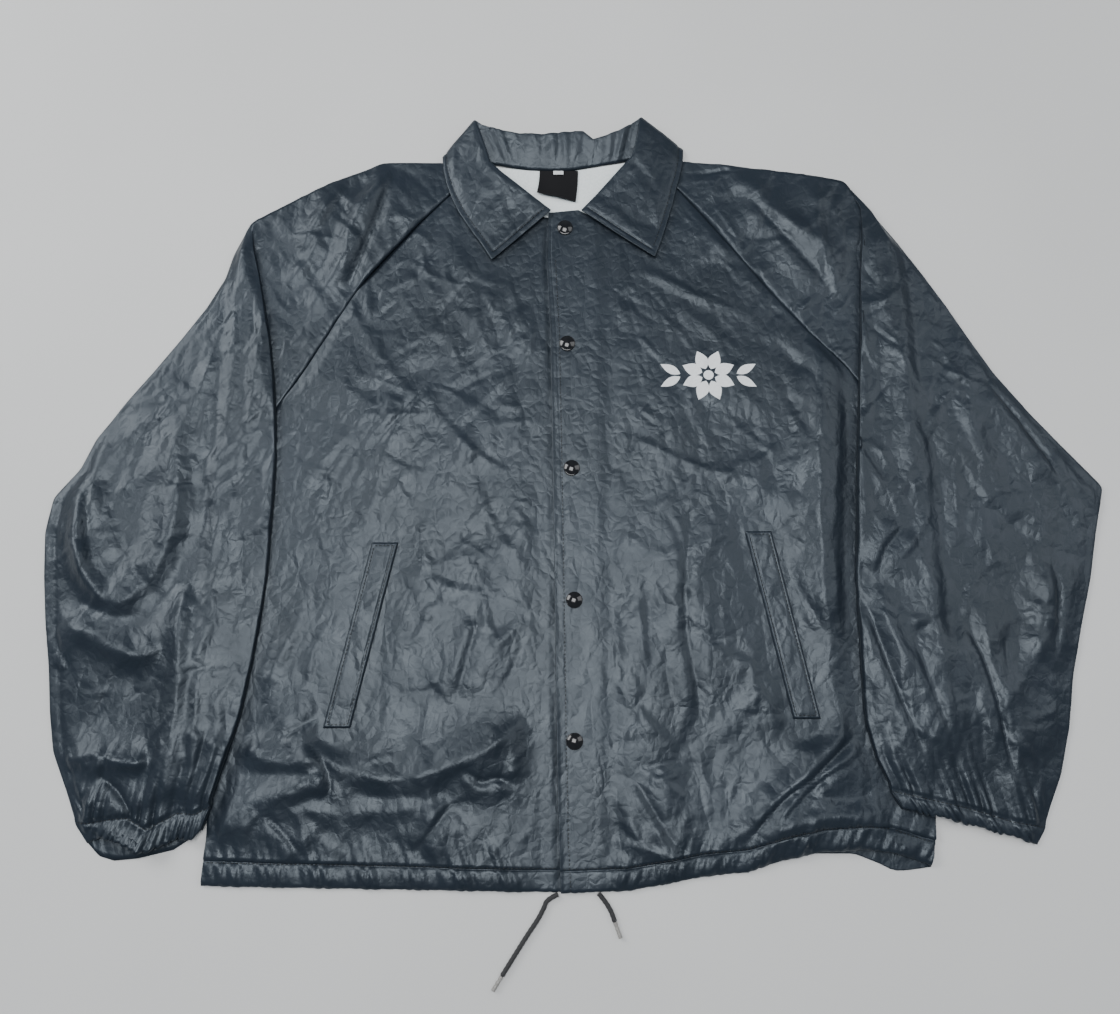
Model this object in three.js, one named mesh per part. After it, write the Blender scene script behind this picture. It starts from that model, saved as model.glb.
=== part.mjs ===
// A snap-front nylon coach jacket, laid flat on its back with both sleeves folded down over its sides.
// Millimetres. X runs across the jacket, Y from the hem to the collar, Z up from the floor.
// Left and right are the wearer's, so the right side lies at negative X.
import * as THREE from "three";

// Driving sizes
const CLOTH = 1.2; // wall of one layer of shell cloth
const AIR = 0.6; // space between two layers that lie on each other
const SEAM = 0.3; // half of this is left at each side of a seam
const CASING = 20; // depth of the drawstring hem
const CUFF = 15; // depth of the elastic cuff
const SNAP_RADIUS = 7.5;
const SNAP_HEIGHT = 2.6;
const CORD = 4.2; // drawstring diameter
const WELT_WIDTH = 24;
const COLLAR_CLOTH = 1.6; // two layers sewn as one
const LINING_CLOTH = 1.0;
const TAG_CLOTH = 1.0;

// Height of the middle of the wall in layer 0, 1, 2 and so on of the stack.
const layer = (number) => CLOTH / 2 + number * (CLOTH + AIR);

// Body sections, from the hem to the armpit. side follows the side seam, and edge is the front edge:
// the right one lies hidden under the left one. Above the armpit each front follows its raglan seam.
const RIGHT_FRONT = [
  { side: [-322, -325], edge: [12, -330] },
  { side: [-323, -300], edge: [12, -308] },
  { side: [-323, -275], edge: [12, -285] },
  { side: [-322, -248], edge: [12, -258] },
  { side: [-322, -220], edge: [12, -228] },
  { side: [-321, -185], edge: [12, -192] },
  { side: [-321, -145], edge: [12, -150] },
  { side: [-320, -100], edge: [12, -104] },
  { side: [-319, -55], edge: [12, -58] },
  { side: [-318, -15], edge: [12, -14] },
];
const LEFT_FRONT = [
  { side: [313, -300], edge: [-16, -326] },
  { side: [313, -280], edge: [-17, -304] },
  { side: [313, -258], edge: [-17, -280] },
  { side: [312, -234], edge: [-18, -252] },
  { side: [311, -206], edge: [-18, -220] },
  { side: [310, -172], edge: [-19, -182] },
  { side: [309, -132], edge: [-19, -140] },
  { side: [308, -88], edge: [-20, -94] },
  { side: [306, -44], edge: [-20, -48] },
  { side: [304, 2], edge: [-21, -2] },
];
// Lower edges of the two fronts and of the back, and the necklines, from left to right as they lie.
const RIGHT_HEM = [
  [-324, -360],
  [-281, -361],
  [-152, -363],
  [-46, -365],
  [12, -365],
];
const LEFT_HEM = [
  [-14, -366],
  [44, -364],
  [79, -358],
  [111, -352],
  [146, -349],
  [178, -339],
  [211, -332],
  [249, -330],
  [272, -332],
  [290, -338],
  [306, -343],
];
const BACK_HEM = [
  [-323, -359],
  [-150, -362],
  [-14, -364],
  [60, -360],
  [130, -348],
  [200, -334],
  [240, -334],
  [261, -342],
  [273, -348],
  [284, -348],
  [306, -345],
];
const RIGHT_NECK = [
  [-34, 261],
  [2, 258.5],
];
const LEFT_NECK = [
  [-26, 266],
  [3, 269],
  [16, 262],
];
const BELOW_LEFT_NECK = [16, 246];
const BACK_NECK = [
  [-84, 318],
  [-61, 315],
  [-35, 313],
  [4, 314],
  [29, 318],
  [56, 322],
];
// Back sections from the hem up: both side seams, then both raglan seams.
const BACK = [
  { right: [-322, -325], left: [311, -318] },
  { right: [-322, -270], left: [312, -270] },
  { right: [-321, -200], left: [310, -200] },
  { right: [-320, -130], left: [308, -130] },
  { right: [-319, -60], left: [305, -60] },
  { right: [-316, -5], left: [302, -5] },
  { right: [-298, 36], left: [283, 56] },
  { right: [-271, 79], left: [252, 107] },
  { right: [-230.5, 140], left: [216, 156] },
  { right: [-198, 187], left: [190, 189] },
  { right: [-142, 257], left: [131, 260] },
  { right: [-117, 283], left: [94, 291] },
];

// Sleeve sections, from the neck to the cuff. seam is the raglan seam, outer the shoulder line and then the
// overarm seam. Below the shoulder point the cloth makes a pleat: it runs from seam to tuck, doubles back to
// fold, and goes on over the top to outer. Below the armpit the underarm seam takes the place of tuck.
const RIGHT_SLEEVE = [
  { seam: [-101, 306], outer: [-106, 320] },
  { seam: [-126, 283], outer: [-150, 319] },
  { seam: [-151, 257], outer: [-188, 319] },
  { seam: [-184, 218], outer: [-238, 299] },
  { seam: [-210, 187], outer: [-284, 274] },
  { seam: [-229, 155], outer: [-316, 256] },
  { seam: [-237, 140], tuck: [-318, 226], fold: [-312, 228], outer: [-331, 222] },
  { seam: [-246, 125], tuck: [-319, 200], fold: [-305, 200], outer: [-337, 198] },
  { seam: [-255, 109], tuck: [-319, 168], fold: [-298, 168], outer: [-353, 168] },
  { seam: [-265, 93], tuck: [-319, 135], fold: [-291, 135], outer: [-376, 135] },
  { seam: [-275, 79], tuck: [-319, 102], fold: [-286, 102], outer: [-400, 102] },
  { seam: [-290, 55], tuck: [-320, 68], fold: [-282, 68], outer: [-426, 68] },
  { seam: [-306, 36], tuck: [-320, 38], fold: [-280, 38], outer: [-448, 37] },
  { tuck: [-314, 10], fold: [-279, 10], outer: [-460, 8] },
  { tuck: [-312, 2], fold: [-279, 2], outer: [-466, 1] },
  { tuck: [-304, -18], fold: [-279, -14], outer: [-482, -19] },
  { tuck: [-298, -50], fold: [-280, -50], outer: [-487, -52] },
  { tuck: [-296, -90], fold: [-281, -90], outer: [-484, -92] },
  { tuck: [-298, -130], fold: [-285, -130], outer: [-479, -132] },
  { tuck: [-302, -170], fold: [-290, -170], outer: [-472, -172] },
  { tuck: [-309, -215], fold: [-297, -215], outer: [-467, -214] },
  { tuck: [-318, -250], fold: [-307, -250], outer: [-461, -248] },
];
const LEFT_SLEEVE = [
  { seam: [73, 314], outer: [80, 325] },
  { seam: [102, 291], outer: [117, 320] },
  { seam: [128, 260], outer: [158, 315] },
  { seam: [159, 221], outer: [199, 311] },
  { seam: [184, 189], outer: [236, 305] },
  { seam: [203, 166], outer: [262, 300] },
  { seam: [212, 156], tuck: [285, 267], fold: [279, 271], outer: [290, 266] },
  { seam: [222, 144], tuck: [298, 238], fold: [278, 238], outer: [311, 237] },
  { seam: [234, 132], tuck: [303, 204], fold: [275, 204], outer: [334, 203] },
  { seam: [246, 120], tuck: [306, 170], fold: [273, 170], outer: [355, 170] },
  { seam: [258, 107], tuck: [307, 136], fold: [271, 136], outer: [375, 135] },
  { seam: [272, 88], tuck: [307, 102], fold: [268, 102], outer: [395, 102] },
  { seam: [291, 56], tuck: [306, 62], fold: [265, 62], outer: [426, 62] },
  { tuck: [300, 26], fold: [262, 26], outer: [457, 26] },
  { tuck: [299, 16], fold: [261, 16], outer: [466, 15] },
  { tuck: [290, -10], fold: [259, -10], outer: [487, -9] },
  { tuck: [279, -48], fold: [257, -48], outer: [477, -49] },
  { tuck: [271, -90], fold: [254, -90], outer: [468, -92] },
  { tuck: [268, -135], fold: [254, -135], outer: [455, -137] },
  { tuck: [267, -180], fold: [254, -180], outer: [443, -182] },
  { tuck: [269, -222], fold: [255, -222], outer: [435, -228] },
  { tuck: [277, -256], fold: [263, -254], outer: [424, -268] },
];
// Cuffs: the elastic's stitching and the two edges of the mouth, from the fold to the outer seam.
const RIGHT_CUFF = {
  stitching: [[-318, -294], [-331, -301], [-347, -300], [-373, -314], [-391, -304], [-410, -306], [-425, -309], [-437, -308]],
  frontEdge: [[-325, -314], [-333, -323], [-345, -320], [-356, -327], [-374, -333], [-389, -328], [-402, -321], [-414, -321], [-424, -325]],
  backStitching: [[-334, -303], [-360, -316], [-400, -321], [-437, -308]],
  backEdge: [[-335, -321], [-350, -331], [-380, -338], [-401, -340], [-414, -336], [-424, -326]],
};
const LEFT_CUFF = {
  stitching: [[273, -281], [300, -287], [340, -296], [380, -308], [407, -312]],
  frontEdge: [[282, -296], [305, -301], [337, -309], [368, -317], [398, -326]],
  backStitching: [[292, -283], [330, -292], [370, -304], [407, -312]],
  backEdge: [[297, -298], [330, -305], [368, -315], [398, -326]],
};

// Largest folds: soft ridges from one point to another. width is from crest to foot.
const FOLDS = [
  { piece: "front_right", from: [-312, -318], to: [-206, -262], width: 20, height: 10 },
  { piece: "front_right", from: [-235, -246], to: [-150, -286], width: 26, height: 9 },
  { piece: "front_right", from: [-160, -284], to: [-62, -238], width: 26, height: 8 },
  { piece: "front_right", from: [-130, -296], to: [-112, -332], width: 15, height: 6 },
  { piece: "front_right", from: [-262, -312], to: [-232, -334], width: 14, height: 6 },
  { piece: "front_right", from: [-120, 0], to: [-70, 70], width: 34, height: 4 },
  { piece: "front_right", from: [-225, 80], to: [-130, 130], width: 30, height: 4 },
  { piece: "front_left", from: [236, -214], to: [158, -330], width: 20, height: 11 },
  { piece: "front_left", from: [232, -262], to: [120, -326], width: 18, height: 9 },
  { piece: "front_left", from: [290, -312], to: [190, -302], width: 16, height: 8 },
  { piece: "front_left", from: [60, -225], to: [84, -325], width: 22, height: 6 },
  { piece: "front_left", from: [220, -328], to: [290, -332], width: 15, height: 9 },
  { piece: "front_left", from: [95, 60], to: [85, -40], width: 34, height: 4 },
  { piece: "front_left", from: [104, -60], to: [118, -200], width: 30, height: 4 },
  { piece: "sleeve_right", from: [-322, 250], to: [-284, 60], width: 17, height: 7 },
  { piece: "sleeve_right", from: [-284, 60], to: [-282, -70], width: 14, height: 4 },
  { piece: "sleeve_right", from: [-440, 40], to: [-456, -60], width: 17, height: 10 },
  { piece: "sleeve_right", from: [-456, -60], to: [-424, -116], width: 17, height: 11 },
  { piece: "sleeve_right", from: [-424, -116], to: [-382, -70], width: 18, height: 10 },
  { piece: "sleeve_right", from: [-382, -70], to: [-366, 50], width: 24, height: 8 },
  { piece: "sleeve_right", from: [-462, -132], to: [-392, -168], width: 17, height: 9 },
  { piece: "sleeve_right", from: [-392, -168], to: [-352, -120], width: 20, height: 7 },
  { piece: "sleeve_right", from: [-452, -254], to: [-376, -258], width: 14, height: 8 },
  { piece: "sleeve_right", from: [-356, -120], to: [-366, -296], width: 22, height: 6 },
  { piece: "sleeve_right", from: [-306, -180], to: [-330, -292], width: 12, height: 5 },
  { piece: "sleeve_left", from: [266, 292], to: [272, 120], width: 15, height: 8 },
  { piece: "sleeve_left", from: [272, 120], to: [258, -60], width: 14, height: 5 },
  { piece: "sleeve_left", from: [300, 200], to: [318, -30], width: 24, height: 5 },
  { piece: "sleeve_left", from: [370, 100], to: [378, -80], width: 26, height: 5 },
  { piece: "sleeve_left", from: [272, -110], to: [306, -272], width: 16, height: 7 },
  { piece: "sleeve_left", from: [320, -90], to: [342, -278], width: 20, height: 7 },
  { piece: "sleeve_left", from: [364, -110], to: [390, -290], width: 20, height: 7 },
  { piece: "sleeve_left", from: [430, 0], to: [424, -180], width: 24, height: 5 },
  { piece: "shoulder_right", from: [-186, 306], to: [-250, 170], width: 17, height: 7 },
  { piece: "shoulder_right", from: [-232, 284], to: [-276, 190], width: 15, height: 6 },
  { piece: "shoulder_left", from: [170, 298], to: [252, 214], width: 18, height: 6 },
  { piece: "shoulder_left", from: [232, 292], to: [250, 190], width: 16, height: 6 },
];
const HEM_GATHERS = { right: 20, left: 24, height: 1.7 };
const CUFF_GATHERS = { right: 13, left: 13, height: 2.0 };

// Collar sections, from the right front end round the back of the neck to the left front end.
// seam is sewn to the neckline, roll is the fold at the top, and tip is the free outer edge.
const COLLAR = [
  { seam: [-36, 259, 4.3], roll: [-24, 267, 8], tip: [-81, 215, 5.2] },
  { seam: [-52, 271, 4.3], roll: [-41, 280, 10], tip: [-92, 233, 4.8] },
  { seam: [-69, 285, 4.3], roll: [-58, 294, 11], tip: [-104, 250, 4.6] },
  { seam: [-84, 297, 4.3], roll: [-73, 306, 12], tip: [-114, 266, 4.6] },
  { seam: [-92, 305, 4.2], roll: [-84, 316, 13], tip: [-121, 281, 4.6] },
  { seam: [-92, 311, 3.9], roll: [-89, 332, 14], tip: [-127, 298, 4.6] },
  { seam: [-87, 316, 3.0], roll: [-95, 349, 14], tip: [-130, 312, 4.4] },
  { seam: [-82, 318, 2.6], roll: [-99, 361, 12], tip: [-131, 326, 2.6] },
  { seam: [-76, 318, 2.4], roll: [-93, 357, 11], tip: [-104, 333, 0.9] },
  { seam: [-62, 315, 2.4], roll: [-78, 352, 10], tip: [-76, 328, 0.9] },
  { seam: [-46, 313, 2.4], roll: [-56, 348, 9], tip: [-52, 322, 0.9] },
  { seam: [-26, 312, 2.4], roll: [-31, 347, 9], tip: [-30, 320, 0.9] },
  { seam: [-6, 312, 2.4], roll: [-8, 349, 9], tip: [-8, 320, 0.9] },
  { seam: [6, 314, 2.4], roll: [8, 350, 10], tip: [8, 322, 0.9] },
  { seam: [16, 316, 2.4], roll: [18, 342, 8], tip: [18, 324, 0.9] },
  { seam: [28, 318, 2.4], roll: [31, 346, 9], tip: [30, 326, 0.9] },
  { seam: [40, 320, 2.4], roll: [49, 353, 10], tip: [50, 330, 0.9] },
  { seam: [50, 322, 2.4], roll: [61, 361, 11], tip: [76, 336, 0.9] },
  { seam: [56, 323, 2.6], roll: [65, 364, 12], tip: [107, 334, 2.6] },
  { seam: [62, 322, 3.0], roll: [63, 350, 14], tip: [106, 318, 4.4] },
  { seam: [66, 317, 3.9], roll: [60, 336, 14], tip: [103, 304, 4.6] },
  { seam: [67, 311, 4.2], roll: [56, 322, 13], tip: [99, 290, 4.6] },
  { seam: [58, 301, 4.3], roll: [46, 311, 12], tip: [95, 273, 4.6] },
  { seam: [44, 286, 4.4], roll: [33, 296, 11], tip: [90, 256, 4.6] },
  { seam: [30, 271, 5.6], roll: [20, 281, 10], tip: [84, 237, 4.8] },
  { seam: [17, 260, 6.6], roll: [6, 266, 9.6], tip: [77, 218, 5.2] },
];
const ROLL_RADIUS = 1.3;
const STAND_STEPS = 2; // from the seam to the roll
const LEAF_STEPS = 5; // from the roll to the tip

const WELTS = [
  { name: "welt_right", top: [-175, -61], bottom: [-212.5, -227.5] },
  { name: "welt_left", top: [167, -50.5], bottom: [204, -219.5] },
];
const SNAPS = [
  [-10, 250],
  [-8, 131],
  [-4, 9],
  [-2, -114],
  [-2, -239],
];
// The lining's corners where the open neck shows it, a little under the collar.
const LINING = [
  [[-30, 263], [9, 260]],
  [[-76, 300], [50, 308]],
  [[-80, 316.5], [-62, 314], [-46, 312.2], [-26, 311.3], [-6, 311.3], [6, 313], [28, 317], [53, 321]],
];
const LABEL = { width: 38, depth: 28, middle: -16.5, top: 310, rise: 1.5 };
const SIZE_TAB = { width: 10, depth: 4, middle: -16.5, top: 310.6, rise: 0.2 };

// Free ends of the drawstring, from the hem to the metal tip.
const CORDS = [
  {
    name: "right",
    points: [[-16.6, -367.3, 2.9], [-22, -370, 2.5], [-26.5, -373.5, 2.3], [-29, -379, 2.3], [-34, -388, 2.3], [-42, -399.5, 2.3], [-49, -410, 2.3], [-56.5, -421.5, 2.3], [-64, -433, 2.3]],
    end: [-72, -445.5, 2.3],
  },
  {
    name: "left",
    points: [[18.3, -366.6, 2.9], [21.8, -370.8, 2.5], [26, -376.5, 2.3], [29.5, -383, 2.3], [32, -390, 2.3]],
    end: [37, -403.5, 2.3],
  },
];
const TIP_RADIUS = 1.7;

const smooth = (low, high, value) => THREE.MathUtils.smoothstep(value, low, high);

// Points along a polyline: every corner is kept, and each stretch is divided to suit the count.
function along(corners, count) {
  const points = corners.map(([x, y, z = 0]) => new THREE.Vector3(x, y, z));
  const lengths = points.slice(1).map((point, i) => point.distanceTo(points[i]));
  const total = lengths.reduce((sum, length) => sum + length, 0);
  const out = [points[0]];
  lengths.forEach((length, i) => {
    const steps = Math.max(1, Math.round((count * length) / total));
    for (let step = 1; step <= steps; step++) {
      out.push(points[i].clone().lerp(points[i + 1], step / steps));
    }
  });
  return out;
}

// Gives each point of a row its place along the row, from one number to another.
function graded(points, from = 0, to = 1) {
  const lengths = points.map((point, i) => (i ? point.distanceTo(points[i - 1]) : 0));
  const total = lengths.reduce((sum, length) => sum + length, 0) || 1;
  let run = 0;
  return points.map((point, i) => {
    run += lengths[i];
    return { point, place: from + ((to - from) * run) / total };
  });
}

// Triangles between two neighbouring rows, which may have different numbers of points.
function stitchRows(lower, upper, lowerStart, upperStart) {
  const triangles = [];
  let i = 0;
  let j = 0;
  while (i < lower.length - 1 || j < upper.length - 1) {
    const nextLower = i < lower.length - 1 ? lower[i + 1].place : Infinity;
    const nextUpper = j < upper.length - 1 ? upper[j + 1].place : Infinity;
    if (nextLower <= nextUpper) {
      triangles.push([lowerStart + i, lowerStart + i + 1, upperStart + j]);
      i += 1;
    } else {
      triangles.push([lowerStart + i, upperStart + j + 1, upperStart + j]);
      j += 1;
    }
  }
  return triangles;
}

// A closed cloth wall around a middle surface that is given as rows of points.
function clothWall(rows, thickness, up = true) {
  const starts = [];
  const points = [];
  for (const row of rows) {
    starts.push(points.length);
    points.push(...row.map((entry) => entry.point));
  }
  let faces = [];
  for (let i = 0; i + 1 < rows.length; i++) {
    faces.push(...stitchRows(rows[i], rows[i + 1], starts[i], starts[i + 1]));
  }
  const area = (face) => {
    const [a, b, c] = face.map((index) => points[index]);
    return b.clone().sub(a).cross(c.clone().sub(a));
  };
  const facing = faces.reduce((sum, face) => sum + area(face).z, 0);
  const flip = facing > 0 !== up;
  if (flip) faces = faces.map(([a, b, c]) => [a, c, b]);
  const normals = points.map(() => new THREE.Vector3());
  for (const face of faces) {
    const normal = area(face);
    face.forEach((index) => normals[index].add(normal));
  }
  const count = points.length;
  const positions = [];
  for (const side of [0.5, -0.5]) {
    points.forEach((point, i) => {
      const shift = normals[i].clone().normalize().multiplyScalar(thickness * side);
      positions.push(...point.clone().add(shift).toArray());
    });
  }
  const index = faces.flatMap(([a, b, c]) => [a, b, c, a + count, c + count, b + count]);
  const last = rows.length - 1;
  const rim = [
    ...rows[0].map((_, i) => starts[0] + i),
    ...rows.slice(1, last).map((row, i) => starts[i + 1] + row.length - 1),
    ...rows[last].map((_, i) => starts[last] + rows[last].length - 1 - i),
    ...rows.slice(1, last).map((_, i) => starts[last - 1 - i]),
  ];
  rim.forEach((a, i) => {
    const b = rim[(i + 1) % rim.length];
    const [p, q] = flip ? [b, a] : [a, b];
    index.push(q, p, p + count, q, p + count, q + count);
  });
  const geometry = new THREE.BufferGeometry();
  geometry.setAttribute("position", new THREE.Float32BufferAttribute(positions, 3));
  geometry.setIndex(index);
  return geometry;
}

// Height of one soft ridge over a point: full between its ends, and tapering out past them.
function ridge(fold, x, y) {
  const [x1, y1] = fold.from;
  const [x2, y2] = fold.to;
  const length = Math.hypot(x2 - x1, y2 - y1);
  const run = ((x - x1) * (x2 - x1) + (y - y1) * (y2 - y1)) / length;
  const away = ((x - x1) * (y2 - y1) - (y - y1) * (x2 - x1)) / length;
  const taper = smooth(-fold.width, fold.width, run) * smooth(-fold.width, fold.width, length - run);
  return fold.height * Math.exp(-((1.5 * away) ** 2) / fold.width ** 2) * taper;
}

const foldsOf = (piece) => FOLDS.filter((fold) => fold.piece === piece);
const foldHeight = (folds, x, y) => folds.reduce((most, fold) => Math.max(most, ridge(fold, x, y)), 0);

// X of a sleeve's inner fold at a height Y.
function foldLine(sections, y) {
  const line = sections.filter((section) => section.fold).map((section) => section.fold);
  const below = line.findIndex((point) => point[1] <= y);
  if (below <= 0) return line[below === 0 ? 0 : line.length - 1][0];
  const [x1, y1] = line[below - 1];
  const [x2, y2] = line[below];
  return x1 + ((x2 - x1) * (y - y1)) / (y2 - y1);
}

// 0 on and near a welt, so that the front lies flat under it, and 1 clear of it.
function clearOfWelt(welt, x, y) {
  const [x1, y1] = welt.top;
  const [x2, y2] = welt.bottom;
  const length = Math.hypot(x2 - x1, y2 - y1);
  const run = ((x - x1) * (x2 - x1) + (y - y1) * (y2 - y1)) / length;
  const away = Math.abs((x - x1) * (y2 - y1) - (y - y1) * (x2 - x1)) / length;
  const past = Math.max(0, -run, run - length);
  return smooth(36, 56, Math.hypot(away, past));
}

// 0 where a front has to lie flat: under a sleeve, the collar, the other front or a welt.
function freeOf(side, x, y) {
  const right = side === "right";
  const [sections, welt] = right ? [RIGHT_SLEEVE, WELTS[0]] : [LEFT_SLEEVE, WELTS[1]];
  const sleeveEnd = right ? -316 : -306;
  const inward = right ? x - foldLine(sections, y) : foldLine(sections, y) - x;
  const underSleeve = Math.max(smooth(20, 40, inward), smooth(0, 26, sleeveEnd - y));
  const placket = right ? smooth(30, 55, -x) : smooth(28, 50, x);
  const collar = smooth(125, 160, Math.hypot(x + 10, y - 300));
  return underSleeve * placket * collar * clearOfWelt(welt, x, y);
}

const hemWave = (share, count) => 0.5 - 0.5 * Math.cos(2 * Math.PI * (share * count + 0.35 * Math.sin(9 * share)));

// The corners of a front's rows above the armpit, from the raglan seam to the front edge, and its neckline.
function yoke(side) {
  const right = side === "right";
  const gap = right ? SEAM : -SEAM;
  const seams = (right ? RIGHT_SLEEVE : LEFT_SLEEVE).filter((section) => section.seam).map(({ seam }) => seam);
  seams.reverse();
  const sections = right ? RIGHT_FRONT : LEFT_FRONT;
  const low = sections.at(-1).edge;
  const high = right ? RIGHT_NECK.at(-1) : LEFT_NECK[0];
  const bottom = seams[0][1];
  const top = seams.at(-1)[1];
  const rows = seams.slice(0, -1).map(([x, y], i) => {
    const share = 0.1 + (0.86 * (y - bottom)) / (top - bottom);
    const edge = [low[0] + (high[0] - low[0]) * share, low[1] + (high[1] - low[1]) * share];
    const lowest = !right && i === seams.length - 2 ? [BELOW_LEFT_NECK] : [];
    return [[x + gap, y], ...lowest, edge];
  });
  const corner = [seams.at(-1)[0] + gap, top];
  rows.push([corner, ...(right ? RIGHT_NECK : LEFT_NECK.toReversed())]);
  return rows;
}

// One front: rows from the hem's lower edge up to the neckline.
function front(side) {
  const right = side === "right";
  const sections = right ? RIGHT_FRONT : LEFT_FRONT;
  const folds = foldsOf("front_" + side);
  const gathers = HEM_GATHERS[side];
  const height = (x, y) => {
    const overlap = right ? 0 : (layer(2) - layer(1)) * (1 - smooth(20, 36, x));
    return layer(1) + overlap + foldHeight(folds, x, y) * freeOf(side, x, y);
  };
  const lay = (points) => points.map((point) => point.setZ(height(point.x, point.y)));
  const hem = right ? RIGHT_HEM : LEFT_HEM;
  const rows = [];
  const hemRows = [
    { rise: 0, swell: 0.5 },
    { rise: 7, swell: 1 },
    { rise: CASING - 1, swell: 0.25 },
    { rise: CASING + 8, swell: 0.6 },
  ];
  for (const { rise, swell } of hemRows) {
    const line = hem.map(([x, y]) => [x, y + rise]);
    const points = lay(along(line, gathers * 4));
    rows.push(graded(points).map(({ point, place }) => {
      const edge = right ? smooth(30, 50, -point.x) : smooth(24, 44, point.x);
      point.z += HEM_GATHERS.height * swell * hemWave(place, gathers) * edge;
      return { point, place };
    }));
  }
  const lines = [...sections.map(({ side: outer, edge }) => [outer, edge]), ...yoke(side)];
  for (const corners of lines) {
    rows.push(graded(lay(along(right ? corners : corners.toReversed(), 17))));
  }
  return clothWall(rows, CLOTH);
}

// The back lies flat on the floor.
function back() {
  const lay = (points) => points.map((point) => point.setZ(layer(0)));
  const rows = [
    graded(lay(along(BACK_HEM, 16))),
    ...BACK.map(({ right, left }) => graded(lay(along([right, left], 10)))),
    graded(lay(along(BACK_NECK, 8))),
  ];
  return clothWall(rows, CLOTH);
}

// A half turn of cloth between two heights, seen from the hem: bulge is +1 towards positive X.
function halfTurn([x, y], low, high, bulge) {
  const radius = (high - low) / 2;
  return [-0.5, -0.25, 0, 0.25, 0.5].map((turn) => new THREE.Vector3(
    x - bulge * radius * (1 - Math.cos(Math.PI * turn)),
    y,
    low + radius + radius * Math.sin(Math.PI * turn),
  ));
}

// X where the back half of a sleeve comes down from the side of the body.
const backTop = (side) => (side === "right" ? -327 : 318);

// The front half of a sleeve, with its pleat below the shoulder point.
function sleeveFront(side) {
  const right = side === "right";
  const inward = right ? 1 : -1;
  const sections = right ? RIGHT_SLEEVE : LEFT_SLEEVE;
  const cuff = right ? RIGHT_CUFF : LEFT_CUFF;
  const gathers = CUFF_GATHERS[side];
  const armFolds = foldsOf("sleeve_" + side);
  const shoulderFolds = foldsOf("shoulder_" + side);
  const shoulderHeight = (x, y) => {
    const shown = smooth(12, 34, inward * (x - foldLine(sections, Math.min(y, 225))));
    const collar = smooth(125, 160, Math.hypot(x + 10, y - 300));
    return layer(1) + foldHeight(shoulderFolds, x, y) * Math.max(shown, smooth(225, 240, y)) * collar;
  };
  // The top layer stays high over what lies under it, out to cover, and falls to the back half past that.
  const overArm = (corners, count, cover) => {
    const start = cover - inward * 4;
    const run = Math.min(14, Math.abs(corners.at(-1)[0] - start) * 0.9);
    return graded(along(corners, count), 2, 3).map(({ point, place }) => {
      const fall = smooth(0, run, inward * (start - point.x));
      const share = place - 2;
      const puff = 2.4 * Math.sin(Math.PI * share);
      const raised = foldHeight(armFolds, point.x, point.y) * (1 - smooth(0.93, 1, share));
      point.z = layer(3) - (layer(3) - layer(1)) * fall + puff + raised;
      return { point, place };
    });
  };
  // The inner fold: from the layer below, round the fold, and over the top to the outer seam.
  const arm = (tuck, fold, corners, count, cover) => {
    const top = overArm(corners, count, cover);
    const turn = halfTurn(fold, layer(2), top[0].point.z, inward);
    const under = along([tuck, fold], 3).slice(0, -1).map((point) => point.setZ(layer(2)));
    top[0].point.copy(turn.at(-1));
    return [...graded([...under, ...turn.slice(0, -1)], 1, 1.98), ...top];
  };
  const rows = [];
  for (const { seam, tuck, fold, outer } of sections) {
    if (!tuck) {
      const points = along([seam, outer], 12).map((point) => point.setZ(shoulderHeight(point.x, point.y)));
      const shares = graded(points);
      rows.push(shares.map(({ point, place }) => ({ point, place: place < 0.7 ? place / 0.7 : 1 + (place - 0.7) / 0.15 })));
      continue;
    }
    const rest = arm(tuck, fold, [fold, outer], 13, seam ? tuck[0] : backTop(side));
    if (!seam) {
      rows.push(rest);
      continue;
    }
    const shoulder = along([seam, tuck], 6).map((point) => point.setZ(shoulderHeight(point.x, point.y)));
    const turn = halfTurn(tuck, layer(1), layer(2), -inward);
    rows.push([...graded([...shoulder.slice(0, -1), ...turn.slice(0, -1)], 0, 0.98), ...rest]);
  }
  const cuffRows = [
    { line: cuff.stitching, rise: 10, swell: 1.2 },
    { line: cuff.stitching, rise: 0, swell: 0.4 },
    { line: cuff.frontEdge, rise: CUFF / 2, swell: 1 },
    { line: cuff.frontEdge, rise: 0, swell: 0.7 },
  ];
  for (const { line, rise, swell } of cuffRows) {
    const corners = line.map(([x, y]) => [x, y + rise]);
    const fold = corners[0];
    const tuck = [fold[0] - inward * 7, fold[1] + 1];
    const row = arm(tuck, fold, corners, gathers * 4, backTop(side));
    for (const entry of row) {
      const share = entry.place - 2;
      if (share <= 0) continue;
      entry.point.z += CUFF_GATHERS.height * swell * hemWave(share, gathers) * (1 - smooth(0.92, 1, share));
    }
    rows.push(row);
  }
  return clothWall(rows, CLOTH);
}

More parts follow.
